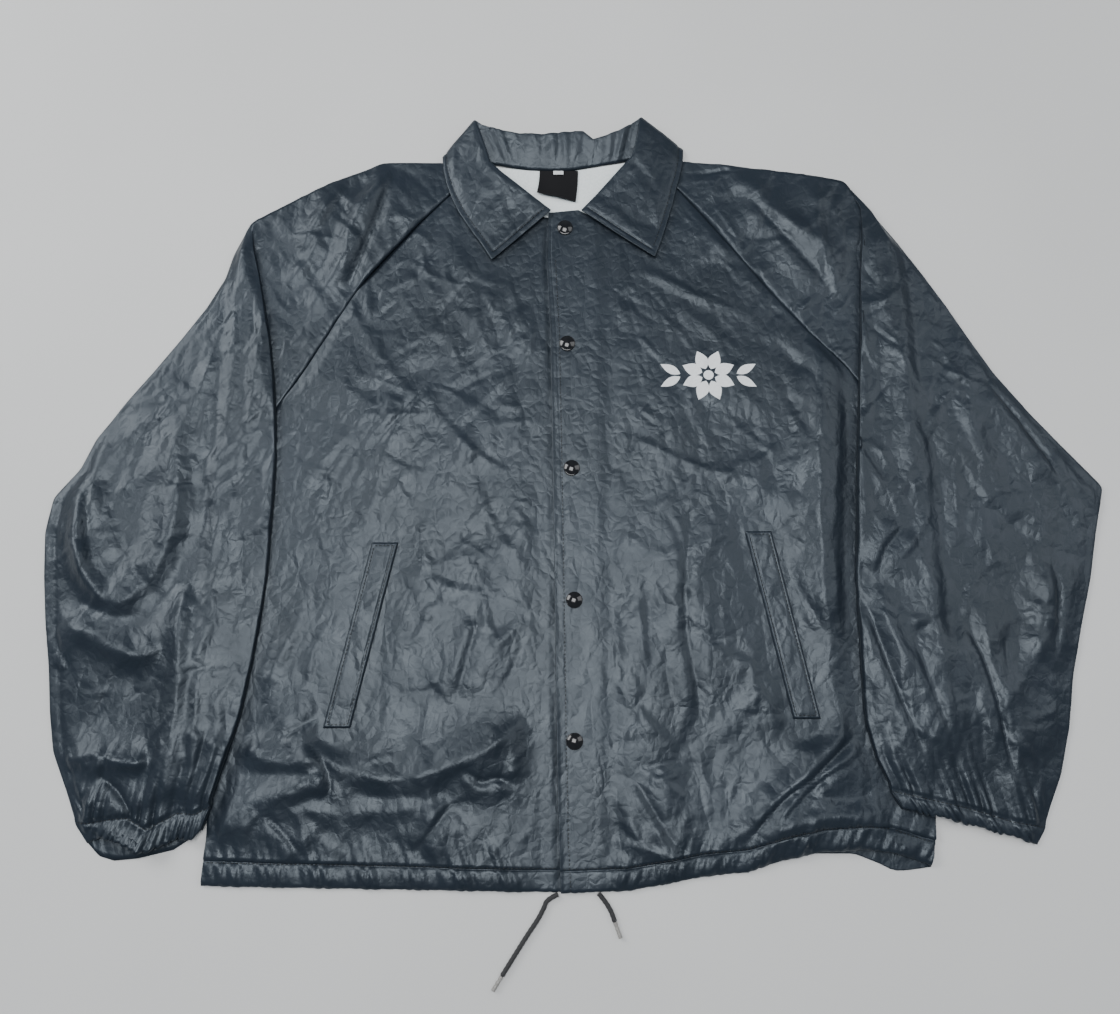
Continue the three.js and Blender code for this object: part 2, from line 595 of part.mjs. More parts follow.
// The back half of a sleeve: flat on the floor, and up over the side of the body below the armpit.
function sleeveBack(side) {
  const right = side === "right";
  const inward = right ? 1 : -1;
  const sections = right ? RIGHT_SLEEVE : LEFT_SLEEVE;
  const cuff = right ? RIGHT_CUFF : LEFT_CUFF;
  const climbTop = backTop(side);
  const climbFoot = climbTop - inward * 11;
  const seamLine = [...BACK.map((section) => section[side]), right ? BACK_NECK[0] : BACK_NECK.at(-1)];
  const armpit = sections.findIndex((section) => !section.seam);
  const lay = (corners, count, climb) => {
    const points = along(corners, count);
    for (const point of points) {
      const share = smooth(0, 1, (point.x - climbFoot) / (climbTop - climbFoot));
      point.z = layer(0) + (layer(2) - layer(0)) * climb * share;
    }
    return graded(points);
  };
  const rows = sections.map(({ seam, tuck, outer }, i) => {
    if (seam) {
      const gap = i === armpit - 1 ? 8 : 0.8;
      return lay([backSeamPoint(seamLine, seam, inward, gap), outer], 9, 0);
    }
    const inner = [tuck[0] - inward * 0.9, tuck[1]];
    const level = (x) => [x, inner[1] + ((outer[1] - inner[1]) * (x - inner[0])) / (outer[0] - inner[0])];
    return lay([inner, level(climbTop), level(climbFoot), outer], 10, i === armpit ? 0.5 : 1);
  });
  rows.push(lay(cuff.backStitching, 12, 1), lay(cuff.backEdge, 12, 1));
  return clothWall(rows, CLOTH);
}

// The point of the back raglan seam level with a section, clear of the back by the width of a seam.
function backSeamPoint(line, seam, inward, gap) {
  const [x, y] = seam;
  const above = line.findIndex((point) => point[1] >= y);
  if (above <= 0) return [x - inward * gap, y];
  const [x1, y1] = line[above - 1];
  const [x2, y2] = line[above];
  return [x1 + ((x2 - x1) * (y - y1)) / (y2 - y1) - inward * gap, y];
}

// A bent line with its corner rounded, and the corner moved out so that the round still reaches it.
function roundedCorner(from, corner, to, radius) {
  const [start, point, end] = [from, corner, to].map((place) => new THREE.Vector3(...place));
  const coming = point.clone().sub(start).normalize();
  const going = end.clone().sub(point).normalize();
  const half = coming.angleTo(going) / 2;
  const out = coming.clone().sub(going).normalize();
  const onward = coming.clone().add(going).normalize();
  const centre = point.clone().addScaledVector(out, -radius);
  return [-1, -0.5, 0, 0.5, 1].map((share) => centre.clone()
    .addScaledVector(out, radius * Math.cos(half * share))
    .addScaledVector(onward, radius * Math.sin(half * share)));
}

// The collar: up from the neckline to the roll, and over to the free edge.
function collar() {
  const rows = COLLAR.map(({ seam, roll, tip }) => {
    const turn = roundedCorner(seam, roll, tip, ROLL_RADIUS);
    const stand = along([seam, turn[0].toArray()], STAND_STEPS).slice(0, -1);
    const leaf = along([turn.at(-1).toArray(), tip], LEAF_STEPS).slice(1);
    return graded([...stand, ...turn, ...leaf]);
  });
  return clothWall(rows, COLLAR_CLOTH);
}

// A welt lies on its front, over the pocket's slanted opening.
function welt({ top, bottom }) {
  const rows = along([top, bottom], 10).map((middle) => {
    const ends = [-1, 1].map((end) => [middle.x + (end * WELT_WIDTH) / 2, middle.y, layer(2)]);
    return graded(along(ends, 2));
  });
  return clothWall(rows, CLOTH);
}

// A snap's cap: a low dome with a rolled rim.
function snapCap() {
  const profile = [
    [0, 0],
    [SNAP_RADIUS - 0.8, 0],
    [SNAP_RADIUS, 0.7],
    [SNAP_RADIUS - 0.5, 1.5],
    [SNAP_RADIUS * 0.6, SNAP_HEIGHT - 0.3],
    [0, SNAP_HEIGHT],
  ];
  const geometry = new THREE.LatheGeometry(profile.map(([radius, z]) => new THREE.Vector2(radius, z)), 16);
  return geometry.rotateX(Math.PI / 2);
}

// White brushed lining, only where the open neck shows it.
function lining() {
  const z = CLOTH + SEAM + LINING_CLOTH / 2;
  const rows = LINING.map((corners) => graded(along(corners, 8).map((point) => point.setZ(z))));
  return clothWall(rows, LINING_CLOTH);
}

// A plain woven tag, sewn in by its top edge; its lower edge stands off a little.
function tag({ width, depth, middle, top, rise }, z) {
  const rows = [0, 0.5, 1].map((share) => {
    const y = top - depth * share;
    const corners = [[middle - width / 2, y], [middle + width / 2, y]];
    return graded(along(corners, 2).map((point) => point.setZ(z + rise * share)));
  });
  return clothWall(rows, TAG_CLOTH);
}

// A round cord along a smooth line, in short straight steps.
function cord(points) {
  const path = new THREE.CatmullRomCurve3(points.map((point) => new THREE.Vector3(...point)), false, "centripetal");
  const section = new THREE.Shape();
  for (let i = 0; i < 8; i++) {
    const turn = (i * Math.PI) / 4;
    const corner = [(Math.cos(turn) * CORD) / 2, (Math.sin(turn) * CORD) / 2];
    if (i) section.lineTo(...corner);
    else section.moveTo(...corner);
  }
  section.closePath();
  const steps = Math.ceil(path.getLength() / (CORD * 1.6));
  return new THREE.ExtrudeGeometry(section, { steps, extrudePath: path, bevelEnabled: false });
}

// The crimped tube on a cord's end, as a mesh that is turned along the cord's last stretch.
function cordTip({ points, end }) {
  const start = new THREE.Vector3(...points.at(-1));
  const finish = new THREE.Vector3(...end);
  const direction = finish.clone().sub(start).normalize();
  start.addScaledVector(direction, SEAM);
  const geometry = new THREE.CylinderGeometry(TIP_RADIUS, TIP_RADIUS, start.distanceTo(finish), 12);
  const mesh = new THREE.Mesh(geometry);
  mesh.position.copy(start).lerp(finish, 0.5);
  mesh.quaternion.setFromUnitVectors(new THREE.Vector3(0, 1, 0), direction);
  return mesh;
}

const finish = (color, roughness, metalness = 0) => new THREE.MeshStandardMaterial({ color, roughness, metalness });
const SHELL = finish(0x23272f, 0.42);
const WHITE = finish(0xe6ecec, 0.9);
const LABEL_BLACK = finish(0x17181a, 0.7);
const CORD_BLACK = finish(0x101010, 0.8);
const LACQUER = finish(0x08080a, 0.15);
const CLEAR_TIP = finish(0xb9b6ae, 0.25);

const jacket = new THREE.Group();
const laid = new THREE.Group();
jacket.add(laid);

function place(name, mesh, material) {
  mesh.name = name;
  mesh.material = material;
  laid.add(mesh);
  return mesh;
}

place("back", new THREE.Mesh(back()), SHELL);
for (const side of ["right", "left"]) {
  place("front_" + side, new THREE.Mesh(front(side)), SHELL);
  place("sleeve_front_" + side, new THREE.Mesh(sleeveFront(side)), SHELL);
  place("sleeve_back_" + side, new THREE.Mesh(sleeveBack(side)), SHELL);
}
place("collar", new THREE.Mesh(collar()), SHELL);
WELTS.forEach((shape) => place(shape.name, new THREE.Mesh(welt(shape)), SHELL));
place("lining", new THREE.Mesh(lining()), WHITE);
const LABEL_LEVEL = CLOTH + LINING_CLOTH + 2 * SEAM + TAG_CLOTH / 2;
place("neck_label", new THREE.Mesh(tag(LABEL, LABEL_LEVEL)), LABEL_BLACK);
place("size_tab", new THREE.Mesh(tag(SIZE_TAB, LABEL_LEVEL + TAG_CLOTH + 2 * SEAM)), WHITE);
SNAPS.forEach(([x, y], i) => {
  const cap = place("snap_" + (i + 1), new THREE.Mesh(snapCap()), LACQUER);
  cap.position.set(x, y, layer(2) + CLOTH / 2 + SEAM);
});
for (const drawstring of CORDS) {
  place("drawstring_" + drawstring.name, new THREE.Mesh(cord(drawstring.points)), CORD_BLACK);
  place("cord_tip_" + drawstring.name, cordTip(drawstring), CLEAR_TIP);
}

// The frame's origin is on the floor, at the middle of the cloth's box: the cord's free ends don't count.
const box = new THREE.Box3();
laid.updateMatrixWorld(true);
for (const mesh of laid.children) {
  if (!/^(drawstring|cord_tip)/.test(mesh.name)) box.expandByObject(mesh, true);
}
const middle = box.getCenter(new THREE.Vector3());
laid.position.set(-middle.x, -middle.y, -box.min.z);

export default jacket;
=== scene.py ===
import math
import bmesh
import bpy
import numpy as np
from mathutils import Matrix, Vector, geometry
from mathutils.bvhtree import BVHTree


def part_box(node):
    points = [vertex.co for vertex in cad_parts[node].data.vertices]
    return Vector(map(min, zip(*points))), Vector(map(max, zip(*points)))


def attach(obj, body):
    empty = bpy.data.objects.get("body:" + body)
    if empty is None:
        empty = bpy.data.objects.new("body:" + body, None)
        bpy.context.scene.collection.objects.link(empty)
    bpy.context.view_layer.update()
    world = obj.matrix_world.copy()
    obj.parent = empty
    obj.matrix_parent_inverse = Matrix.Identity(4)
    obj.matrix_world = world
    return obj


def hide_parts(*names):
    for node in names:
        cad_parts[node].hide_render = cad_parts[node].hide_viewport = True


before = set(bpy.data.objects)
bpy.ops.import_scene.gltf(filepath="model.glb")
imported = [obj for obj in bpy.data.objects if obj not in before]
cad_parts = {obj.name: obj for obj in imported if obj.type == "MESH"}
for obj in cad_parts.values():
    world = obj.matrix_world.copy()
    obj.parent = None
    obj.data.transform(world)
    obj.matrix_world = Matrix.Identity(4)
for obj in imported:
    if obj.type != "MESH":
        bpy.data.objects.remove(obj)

# %% [markdown]
# A coach jacket lies on its back on the floor, snapped shut, with both sleeves folded down at its sides.
# The frame gives its solids in metres: X to the wearer's left, Y to the collar and Z up from the floor.
# Every piece of cloth is made again here as a thin shell on the form of its solid, with its creases.
# The tables below are measured from the middle of the jacket, as the solids' own tables are, so the
# third snap, whose place in those tables is known, gives the shift between the two.

for name in ("Cube", "Light", "Camera"):
    if name in bpy.data.objects:
        bpy.data.objects.remove(bpy.data.objects[name])
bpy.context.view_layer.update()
SNAP_3_PLACE = (-0.004, 0.009)
low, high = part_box("snap_3")
SHIFT_X = (low[0] + high[0]) / 2 - SNAP_3_PLACE[0]
SHIFT_Y = (low[1] + high[1]) / 2 - SNAP_3_PLACE[1]
print("shift of the tables:", round(SHIFT_X, 5), round(SHIFT_Y, 5))

# %% [markdown]
# The camera looks down from over the lower half of the jacket, tilted about twelve degrees.
# Its height and tilt were worked out from the floor boards of the photograph.

# %% Camera
CAMERA_PLACE = (-0.0149, -0.2321, 0.9768)
CAMERA_TILT = math.radians(11.86)
bpy.ops.object.camera_add(location=(CAMERA_PLACE[0] + SHIFT_X, CAMERA_PLACE[1] + SHIFT_Y, CAMERA_PLACE[2]))
camera = bpy.context.object
camera.name = "photo_camera"
camera.rotation_euler = (CAMERA_TILT, 0, 0)
camera.data.lens = 34.65
camera.data.sensor_width = 36
bpy.context.scene.camera = camera

# %% [markdown]
# Cloth needs a few helpers: points spread along a line, a mesh from rows of points, and a thin wall.
# A maker's piece is one sheet, so each is one grid of points whose height is worked out from its folds.

# %% Sheet helpers
CLOTH = 0.0005


def spread(corners, count):
    """Points at even distances along a line through the corners."""
    corners = np.asarray(corners, float)
    steps = np.hypot(*np.diff(corners[:, :2], axis=0).T)
    run = np.concatenate([[0], np.cumsum(steps)])
    wanted = np.linspace(0, run[-1], count)
    return np.stack([np.interp(wanted, run, corners[:, k]) for k in range(corners.shape[1])], axis=1)


def between(edge_low, edge_high, value):
    """A smooth step from 0 to 1."""
    share = np.clip((value - edge_low) / (edge_high - edge_low), 0, 1)
    return share * share * (3 - 2 * share)


def soften(values, times, axis):
    """Averages each value with its neighbours along one axis, keeping both ends."""
    for _ in range(times):
        middle = np.take(values, range(1, values.shape[axis] - 1), axis)
        before = np.take(values, range(0, values.shape[axis] - 2), axis)
        after = np.take(values, range(2, values.shape[axis]), axis)
        inner = (before + 2 * middle + after) / 4
        first = np.take(values, [0], axis)
        last = np.take(values, [-1], axis)
        values = np.concatenate([first, inner, last], axis)
    return values


def select_only(piece):
    bpy.ops.object.select_all(action="DESELECT")
    piece.select_set(True)
    bpy.context.view_layer.objects.active = piece


def apply_modifiers(piece):
    select_only(piece)
    for modifier in list(piece.modifiers):
        bpy.ops.object.modifier_apply(modifier=modifier.name)


def cloth_from_grid(name, points, thickness=CLOTH):
    """A thin shell through rows and columns of points, its upper side facing up."""
    rows, columns, _ = points.shape
    index = np.arange(rows * columns).reshape(rows, columns)
    corners = [index[:-1, :-1], index[:-1, 1:], index[1:, 1:], index[1:, :-1]]
    quads = np.stack(corners, axis=-1).reshape(-1, 4)
    placed = points + np.array([SHIFT_X, SHIFT_Y, 0])
    mesh = bpy.data.meshes.new(name)
    mesh.from_pydata(placed.reshape(-1, 3).tolist(), [], quads.tolist())
    work = bmesh.new()
    work.from_mesh(mesh)
    bmesh.ops.remove_doubles(work, verts=work.verts, dist=0.00003)
    if sum(face.normal.z * face.calc_area() for face in work.faces) < 0:
        bmesh.ops.reverse_faces(work, faces=work.faces)
    work.to_mesh(mesh)
    work.free()
    piece = bpy.data.objects.new(name, mesh)
    bpy.context.collection.objects.link(piece)
    wall = piece.modifiers.new("wall", "SOLIDIFY")
    wall.thickness = thickness
    wall.offset = 0
    apply_modifiers(piece)
    bpy.ops.object.shade_smooth()
    print(name, len(piece.data.polygons), "faces")
    return piece


def finish_piece(piece, material, slot, *nodes):
    piece.data.materials.clear()
    piece.data.materials.append(material)
    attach(piece, "root")
    if nodes:
        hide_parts(*nodes)


# %% [markdown]
# Crumpled nylon is a net of small flat facets with sharp creases between them. A net of triangles with
# random heights gives just that: a coarse net for the large facets and finer ones for the small.
# Each net is looked up from above at every point of the cloth.

# %% Crumple nets
def crumple_net(spacing, seed):
    rng = np.random.default_rng(seed)
    xs = np.arange(-0.62, 0.62, spacing)
    ys = np.arange(-0.5, 0.5, spacing * 0.87)
    places = []
    for row, y in enumerate(ys):
        for x in xs:
            away = rng.uniform(-0.42, 0.42, 2) * spacing
            places.append((x + away[0] + (row % 2) * spacing / 2, y + away[1]))
    heights = rng.uniform(-0.5, 0.5, len(places))
    flat = [Vector(place) for place in places]
    corners, _, faces, origins, _, _ = geometry.delaunay_2d_cdt(flat, [], [], 0, 1e-7)
    solid = [(corner.x, corner.y, heights[origins[i][0]]) for i, corner in enumerate(corners)]
    return BVHTree.FromPolygons(solid, faces)


COARSE_NET = crumple_net(0.062, 4)
MIDDLE_NET = crumple_net(0.030, 11)
FINE_NET = crumple_net(0.0135, 23)


def looked_up(net, x, y):
    down = Vector((0, 0, -1))
    out = np.zeros(x.size)
    for i, (px, py) in enumerate(zip(x.ravel(), y.ravel())):
        hit = net.ray_cast(Vector((px, py, 2)), down)[0]
        out[i] = hit.z if hit else 0
    return out.reshape(x.shape)


def facets(x, y):
    """Height of the broad facets, in metres."""
    warp_x = x + 0.006 * np.sin(y * 71 + 1) + 0.003 * np.sin(y * 163)
    warp_y = y + 0.006 * np.sin(x * 67 + 2) + 0.003 * np.sin(x * 151)
    height = 0.0046 * looked_up(COARSE_NET, warp_x, warp_y)
    height += 0.0018 * looked_up(MIDDLE_NET, warp_x, warp_y)
    height += 0.0005 * looked_up(FINE_NET, warp_x, warp_y)
    return height


# %% [markdown]
# Between the facets run creases: long soft ones where the jacket was folded, and hundreds of short sharp
# ones. Each is a slightly bent line with a crest that falls off straight to both sides. One side is
# steeper, as on real creases. They are strewn with a fixed seed, in the directions that the panel has.

# %% Creases
# number on a whole panel, least and most length, half width, height
CREASE_KINDS = [
    (50, 0.060, 0.160, 0.0120, 0.0024),
    (250, 0.026, 0.080, 0.0060, 0.0016),
    (480, 0.012, 0.034, 0.0040, 0.0009),
]


def creases(x, y, seed, leaning, spread_angle, amount=1.0):
    """Height of the creases. leaning is the direction that most of them follow."""
    rng = np.random.default_rng(seed)
    height = np.zeros_like(x)
    low_x, high_x, low_y, high_y = x.min(), x.max(), y.min(), y.max()
    for number, least, most, width, tall in CREASE_KINDS:
        for _ in range(int(number * amount)):
            middle_x, middle_y = rng.uniform(low_x, high_x), rng.uniform(low_y, high_y)
            half = rng.uniform(least, most) / 2
            angle = leaning + rng.normal(0, spread_angle)
            bend = rng.uniform(-0.22, 0.22) / half
            half_width = width * rng.uniform(0.7, 1.3)
            top = tall * rng.uniform(0.35, 1.0) * rng.choice([1, 1, -0.8])
            lean = rng.uniform(0.4, 1.0)
            near = (np.abs(x - middle_x) < half + half_width) & (np.abs(y - middle_y) < half + half_width)
            if not near.any():
                continue
            dx, dy = x[near] - middle_x, y[near] - middle_y
            run = dx * math.cos(angle) + dy * math.sin(angle)
            away = -dx * math.sin(angle) + dy * math.cos(angle) - bend * run * run
            side_width = np.where(away > 0, half_width, half_width * lean)
            taper = np.clip(1 - (run / half) ** 2, 0, 1)
            height[near] += top * taper * np.clip(1 - np.abs(away) / side_width, 0, 1)
    return height


def crumple(x, y, seed=1, leaning=1.2, spread_angle=0.9, amount=1.0):
    return facets(x, y) + creases(x, y, seed, leaning, spread_angle, amount)


# %% [markdown]
# The layers lie on each other in a stack: back, fronts, the under side of a sleeve and its upper side.
# Each layer has its height, as in the solids, and the folds are soft ridges that run between two points.

# %% Layers and folds
STEP = 0.0018
FIRST_LAYER = 0.0006
CASING = 0.020


def layer(number):
    return FIRST_LAYER + number * STEP


# piece, from, to, width from crest to foot, height
FOLDS = [
    ("front_right", (-0.312, -0.318), (-0.206, -0.262), 0.020, 0.010),
    ("front_right", (-0.235, -0.246), (-0.150, -0.286), 0.026, 0.009),
    ("front_right", (-0.160, -0.284), (-0.062, -0.238), 0.026, 0.008),
    ("front_right", (-0.130, -0.296), (-0.112, -0.332), 0.015, 0.006),
    ("front_right", (-0.262, -0.312), (-0.232, -0.334), 0.014, 0.006),
    ("front_right", (-0.120, 0.000), (-0.070, 0.070), 0.034, 0.004),
    ("front_right", (-0.225, 0.080), (-0.130, 0.130), 0.030, 0.004),
    ("front_left", (0.236, -0.214), (0.158, -0.330), 0.020, 0.011),
    ("front_left", (0.232, -0.262), (0.120, -0.326), 0.018, 0.009),
    ("front_left", (0.290, -0.312), (0.190, -0.302), 0.016, 0.008),
    ("front_left", (0.060, -0.225), (0.084, -0.325), 0.022, 0.006),
    ("front_left", (0.220, -0.328), (0.290, -0.332), 0.015, 0.009),
    ("front_left", (0.095, 0.060), (0.085, -0.040), 0.034, 0.004),
    ("front_left", (0.104, -0.060), (0.118, -0.200), 0.030, 0.004),
    ("sleeve_right", (-0.322, 0.250), (-0.284, 0.060), 0.017, 0.007),
    ("sleeve_right", (-0.284, 0.060), (-0.282, -0.070), 0.014, 0.004),
    ("sleeve_right", (-0.440, 0.040), (-0.456, -0.060), 0.017, 0.010),
    ("sleeve_right", (-0.456, -0.060), (-0.424, -0.116), 0.017, 0.011),
    ("sleeve_right", (-0.424, -0.116), (-0.382, -0.070), 0.018, 0.010),
    ("sleeve_right", (-0.382, -0.070), (-0.366, 0.050), 0.024, 0.008),
    ("sleeve_right", (-0.462, -0.132), (-0.392, -0.168), 0.017, 0.009),
    ("sleeve_right", (-0.392, -0.168), (-0.352, -0.120), 0.020, 0.007),
    ("sleeve_right", (-0.452, -0.254), (-0.376, -0.258), 0.014, 0.008),
    ("sleeve_right", (-0.356, -0.120), (-0.366, -0.296), 0.022, 0.006),
    ("sleeve_right", (-0.306, -0.180), (-0.330, -0.292), 0.012, 0.005),
    ("sleeve_left", (0.266, 0.292), (0.272, 0.120), 0.015, 0.008),
    ("sleeve_left", (0.272, 0.120), (0.258, -0.060), 0.014, 0.005),
    ("sleeve_left", (0.300, 0.200), (0.318, -0.030), 0.024, 0.005),
    ("sleeve_left", (0.370, 0.100), (0.378, -0.080), 0.026, 0.005),
    ("sleeve_left", (0.272, -0.110), (0.306, -0.272), 0.016, 0.007),
    ("sleeve_left", (0.320, -0.090), (0.342, -0.278), 0.020, 0.007),
    ("sleeve_left", (0.364, -0.110), (0.390, -0.290), 0.020, 0.007),
    ("sleeve_left", (0.430, 0.000), (0.424, -0.180), 0.024, 0.005),
    ("shoulder_right", (-0.186, 0.306), (-0.250, 0.170), 0.017, 0.007),
    ("shoulder_right", (-0.232, 0.284), (-0.276, 0.190), 0.015, 0.006),
    ("shoulder_left", (0.170, 0.298), (0.252, 0.214), 0.018, 0.006),
    ("shoulder_left", (0.232, 0.292), (0.250, 0.190), 0.016, 0.006),
]


def ridge(start, end, width, height, x, y):
    """A soft ridge with a fairly sharp crest, that tapers out past both ends."""
    length = math.dist(start, end)
    run = ((x - start[0]) * (end[0] - start[0]) + (y - start[1]) * (end[1] - start[1])) / length
    away = ((x - start[0]) * (end[1] - start[1]) - (y - start[1]) * (end[0] - start[0])) / length
    wander = 0.004 * np.sin(run * 55 + start[0] * 90)
    away = away + wander * between(0, 0.03, run) * between(0, 0.03, length - run)
    taper = between(-width, width, run) * between(-width, width, length - run)
    profile = 0.6 * np.exp(-((1.5 * away / width) ** 2)) + 0.4 * np.exp(-np.abs(2.2 * away / width) ** 1.3)
    return height * profile * taper


def fold_height(name, x, y):
    height = np.zeros_like(x)
    for piece, start, end, width, tall in FOLDS:
        if piece == name:
            height = np.maximum(height, ridge(start, end, width, tall, x, y))
    return height


# %% [markdown]
# The folds that the photograph shows best are drawn as bent lines. A valley is sharp at its
# bottom, with a soft lip on both sides, as where cloth buckles. A ridge has a crest and one steeper side.
# The points of these lines were read in pixels: in two parts of the photograph at twice its size,
# and for the shoulders in the photograph itself. The floor boards are taken as 150 mm wide, and their lines
# meet far above the picture. That gives the camera's tilt and height, and with them the places on the cloth.

# %% Places read in the photograph
PHOTO_MIDDLE = (560, 507)
FOCAL_PIXELS = 1078.0
BOARDS_MEET_ABOVE = 4626
BOARD_PIXELS = 162
BOARD_WIDTH = 0.150
CLOTH_LEVEL = 0.008
VIEW_TILT = math.atan(FOCAL_PIXELS / (BOARDS_MEET_ABOVE + PHOTO_MIDDLE[1]))
VIEW_HEIGHT = FOCAL_PIXELS * BOARD_WIDTH / BOARD_PIXELS * math.cos(VIEW_TILT)
# upper left corner in the photograph, and how many times enlarged
PICTURES = {"left": ((30, 380), 2), "right": ((560, 380), 2), "whole": ((0, 0), 1)}


def on_cloth(picture, place):
    """The place on the cloth, to the millimetre, of a point that was read in a picture."""
    (left_edge, upper_edge), enlarged = PICTURES[picture]
    across = (left_edge + place[0] / enlarged - PHOTO_MIDDLE[0]) / FOCAL_PIXELS
    down = (upper_edge + place[1] / enlarged - PHOTO_MIDDLE[1]) / FOCAL_PIXELS
    reach = (VIEW_HEIGHT - CLOTH_LEVEL) / (math.cos(VIEW_TILT) + down * math.sin(VIEW_TILT))
    x = CAMERA_PLACE[0] + across * reach
    y = CAMERA_PLACE[1] + (math.sin(VIEW_TILT) - down * math.cos(VIEW_TILT)) * reach
    return round(x, 3), round(y, 3)


# %% Drawn fold lines
# piece, kind, half width, height, picture, pixels in it
FOLD_PLACES = [
    ("front_right", "ridge", 0.0130, 0.0072, "left", [(420, 715), (450, 755), (520, 768), (590, 762)]),
    ("front_right", "valley", 0.0060, 0.0030, "left", [(492, 722), (540, 695), (588, 662)]),
    ("front_right", "valley", 0.0060, 0.0045, "left", [(548, 722), (592, 765), (600, 820), (585, 850)]),
    ("front_right", "ridge", 0.0150, 0.0074, "left",
     [(612, 770), (680, 800), (780, 795), (880, 760), (960, 705), (1010, 655)]),
    ("front_right", "valley", 0.0060, 0.0035, "left", [(862, 775), (905, 815), (930, 790), (975, 822)]),
    ("front_right", "ridge", 0.0130, 0.0066, "left",
     [(345, 925), (400, 878), (440, 848), (500, 828), (600, 815)]),
    ("front_right", "valley", 0.0060, 0.0035, "left", [(468, 868), (505, 905), (548, 958)]),
    ("front_right", "valley", 0.0060, 0.0040, "left", [(848, 842), (818, 880), (770, 952)]),
    ("front_right", "ridge", 0.0120, 0.0040, "left", [(475, 852), (600, 866), (720, 868), (830, 845)]),
    ("front_right", "valley", 0.0070, 0.0025, "left", [(900, 470), (870, 560), (850, 640)]),
    ("front_right", "valley", 0.0070, 0.0025, "left", [(690, 130), (745, 60), (800, 0)]),
    ("front_left", "valley", 0.0070, 0.0060, "right",
     [(612, 690), (560, 745), (500, 800), (430, 850), (372, 935)]),
    ("front_left", "valley", 0.0060, 0.0045, "right", [(606, 752), (520, 800), (470, 850), (425, 905)]),
    ("front_left", "ridge", 0.0100, 0.0060, "right", [(690, 862), (560, 872), (470, 890), (385, 925)]),
    ("front_left", "valley", 0.0070, 0.0030, "right", [(145, 790), (180, 850), (222, 925), (262, 962)]),
    ("front_left", "valley", 0.0090, 0.0030, "right", [(262, 230), (245, 480), (272, 600), (290, 745)]),
    ("front_left", "valley", 0.0060, 0.0025, "right", [(440, 362), (480, 420), (528, 500)]),
    ("front_left", "valley", 0.0060, 0.0025, "right", [(395, 598), (430, 640), (466, 688)]),
    ("front_left", "ridge", 0.0130, 0.0080, "right",
     [(524, -180), (520, 40), (516, 200), (524, 360), (540, 500), (566, 620)]),
    ("front_left", "valley", 0.0080, 0.0025, "right", [(70, 400), (120, 520), (110, 660)]),
    ("sleeve_right", "ridge", 0.0110, 0.0070, "left",
     [(100, 180), (90, 300), (112, 400), (166, 455), (218, 430), (262, 370), (296, 285), (300, 180),
      (285, 90)]),
    ("sleeve_right", "valley", 0.0070, 0.0040, "left", [(118, 200), (112, 300), (135, 395)]),
    ("sleeve_right", "ridge", 0.0110, 0.0062, "left",
     [(62, 520), (122, 492), (180, 540), (232, 560), (292, 520)]),
    ("sleeve_right", "valley", 0.0060, 0.0040, "left", [(34, 500), (78, 575), (62, 590)]),
    ("sleeve_right", "ridge", 0.0090, 0.0070, "left", [(75, 765), (132, 745), (200, 770), (262, 760)]),
    ("sleeve_right", "valley", 0.0070, 0.0040, "left", [(60, 798), (112, 870), (120, 900)]),
    ("sleeve_right", "valley", 0.0070, 0.0040, "left", [(140, 790), (185, 830), (205, 880)]),
    ("sleeve_right", "ridge", 0.0140, 0.0095, "left",
     [(312, 380), (303, 500), (300, 640), (280, 760), (232, 862)]),
    ("sleeve_right", "valley", 0.0070, 0.0030, "left", [(360, 690), (330, 800), (318, 860)]),
    ("sleeve_left", "valley", 0.0090, 0.0050, "right", [(605, 420), (650, 560), (700, 690), (750, 800)]),
    ("sleeve_left", "valley", 0.0060, 0.0040, "right", [(690, 290), (650, 330), (632, 390)]),
    ("sleeve_left", "valley", 0.0090, 0.0050, "right", [(800, 465), (850, 560), (882, 680), (905, 790)]),
    ("sleeve_left", "valley", 0.0090, 0.0050, "right", [(850, 0), (905, 60), (962, 130), (1010, 210)]),
    ("sleeve_left", "valley", 0.0100, 0.0040, "right", [(985, 350), (1002, 450), (985, 580)]),
    ("sleeve_left", "valley", 0.0080, 0.0030, "right", [(700, 500), (740, 620), (790, 740)]),
    ("shoulder_right", "valley", 0.0090, 0.0050, "whole", [(396, 166), (371, 230), (343, 294)]),
    ("shoulder_right", "valley", 0.0080, 0.0040, "whole", [(350, 178), (330, 212), (300, 262)]),
    ("shoulder_left", "valley", 0.0080, 0.0035, "whole", [(745, 190), (790, 240), (835, 290)]),
]
FOLD_LINES = [(piece, kind, width, tall, [on_cloth(picture, place) for place in places])
              for piece, kind, width, tall, picture, places in FOLD_PLACES]


def rounded_line(corners):
    """A line with its corners cut off three times, which bends it smoothly."""
    line = np.array(corners, float)
    for _ in range(3):
        near = line[:-1] * 0.75 + line[1:] * 0.25
        far = line[:-1] * 0.25 + line[1:] * 0.75
        inner = np.stack([near, far], axis=1).reshape(-1, 2)
        line = np.concatenate([line[:1], inner[1:-1], line[-1:]])
    return line


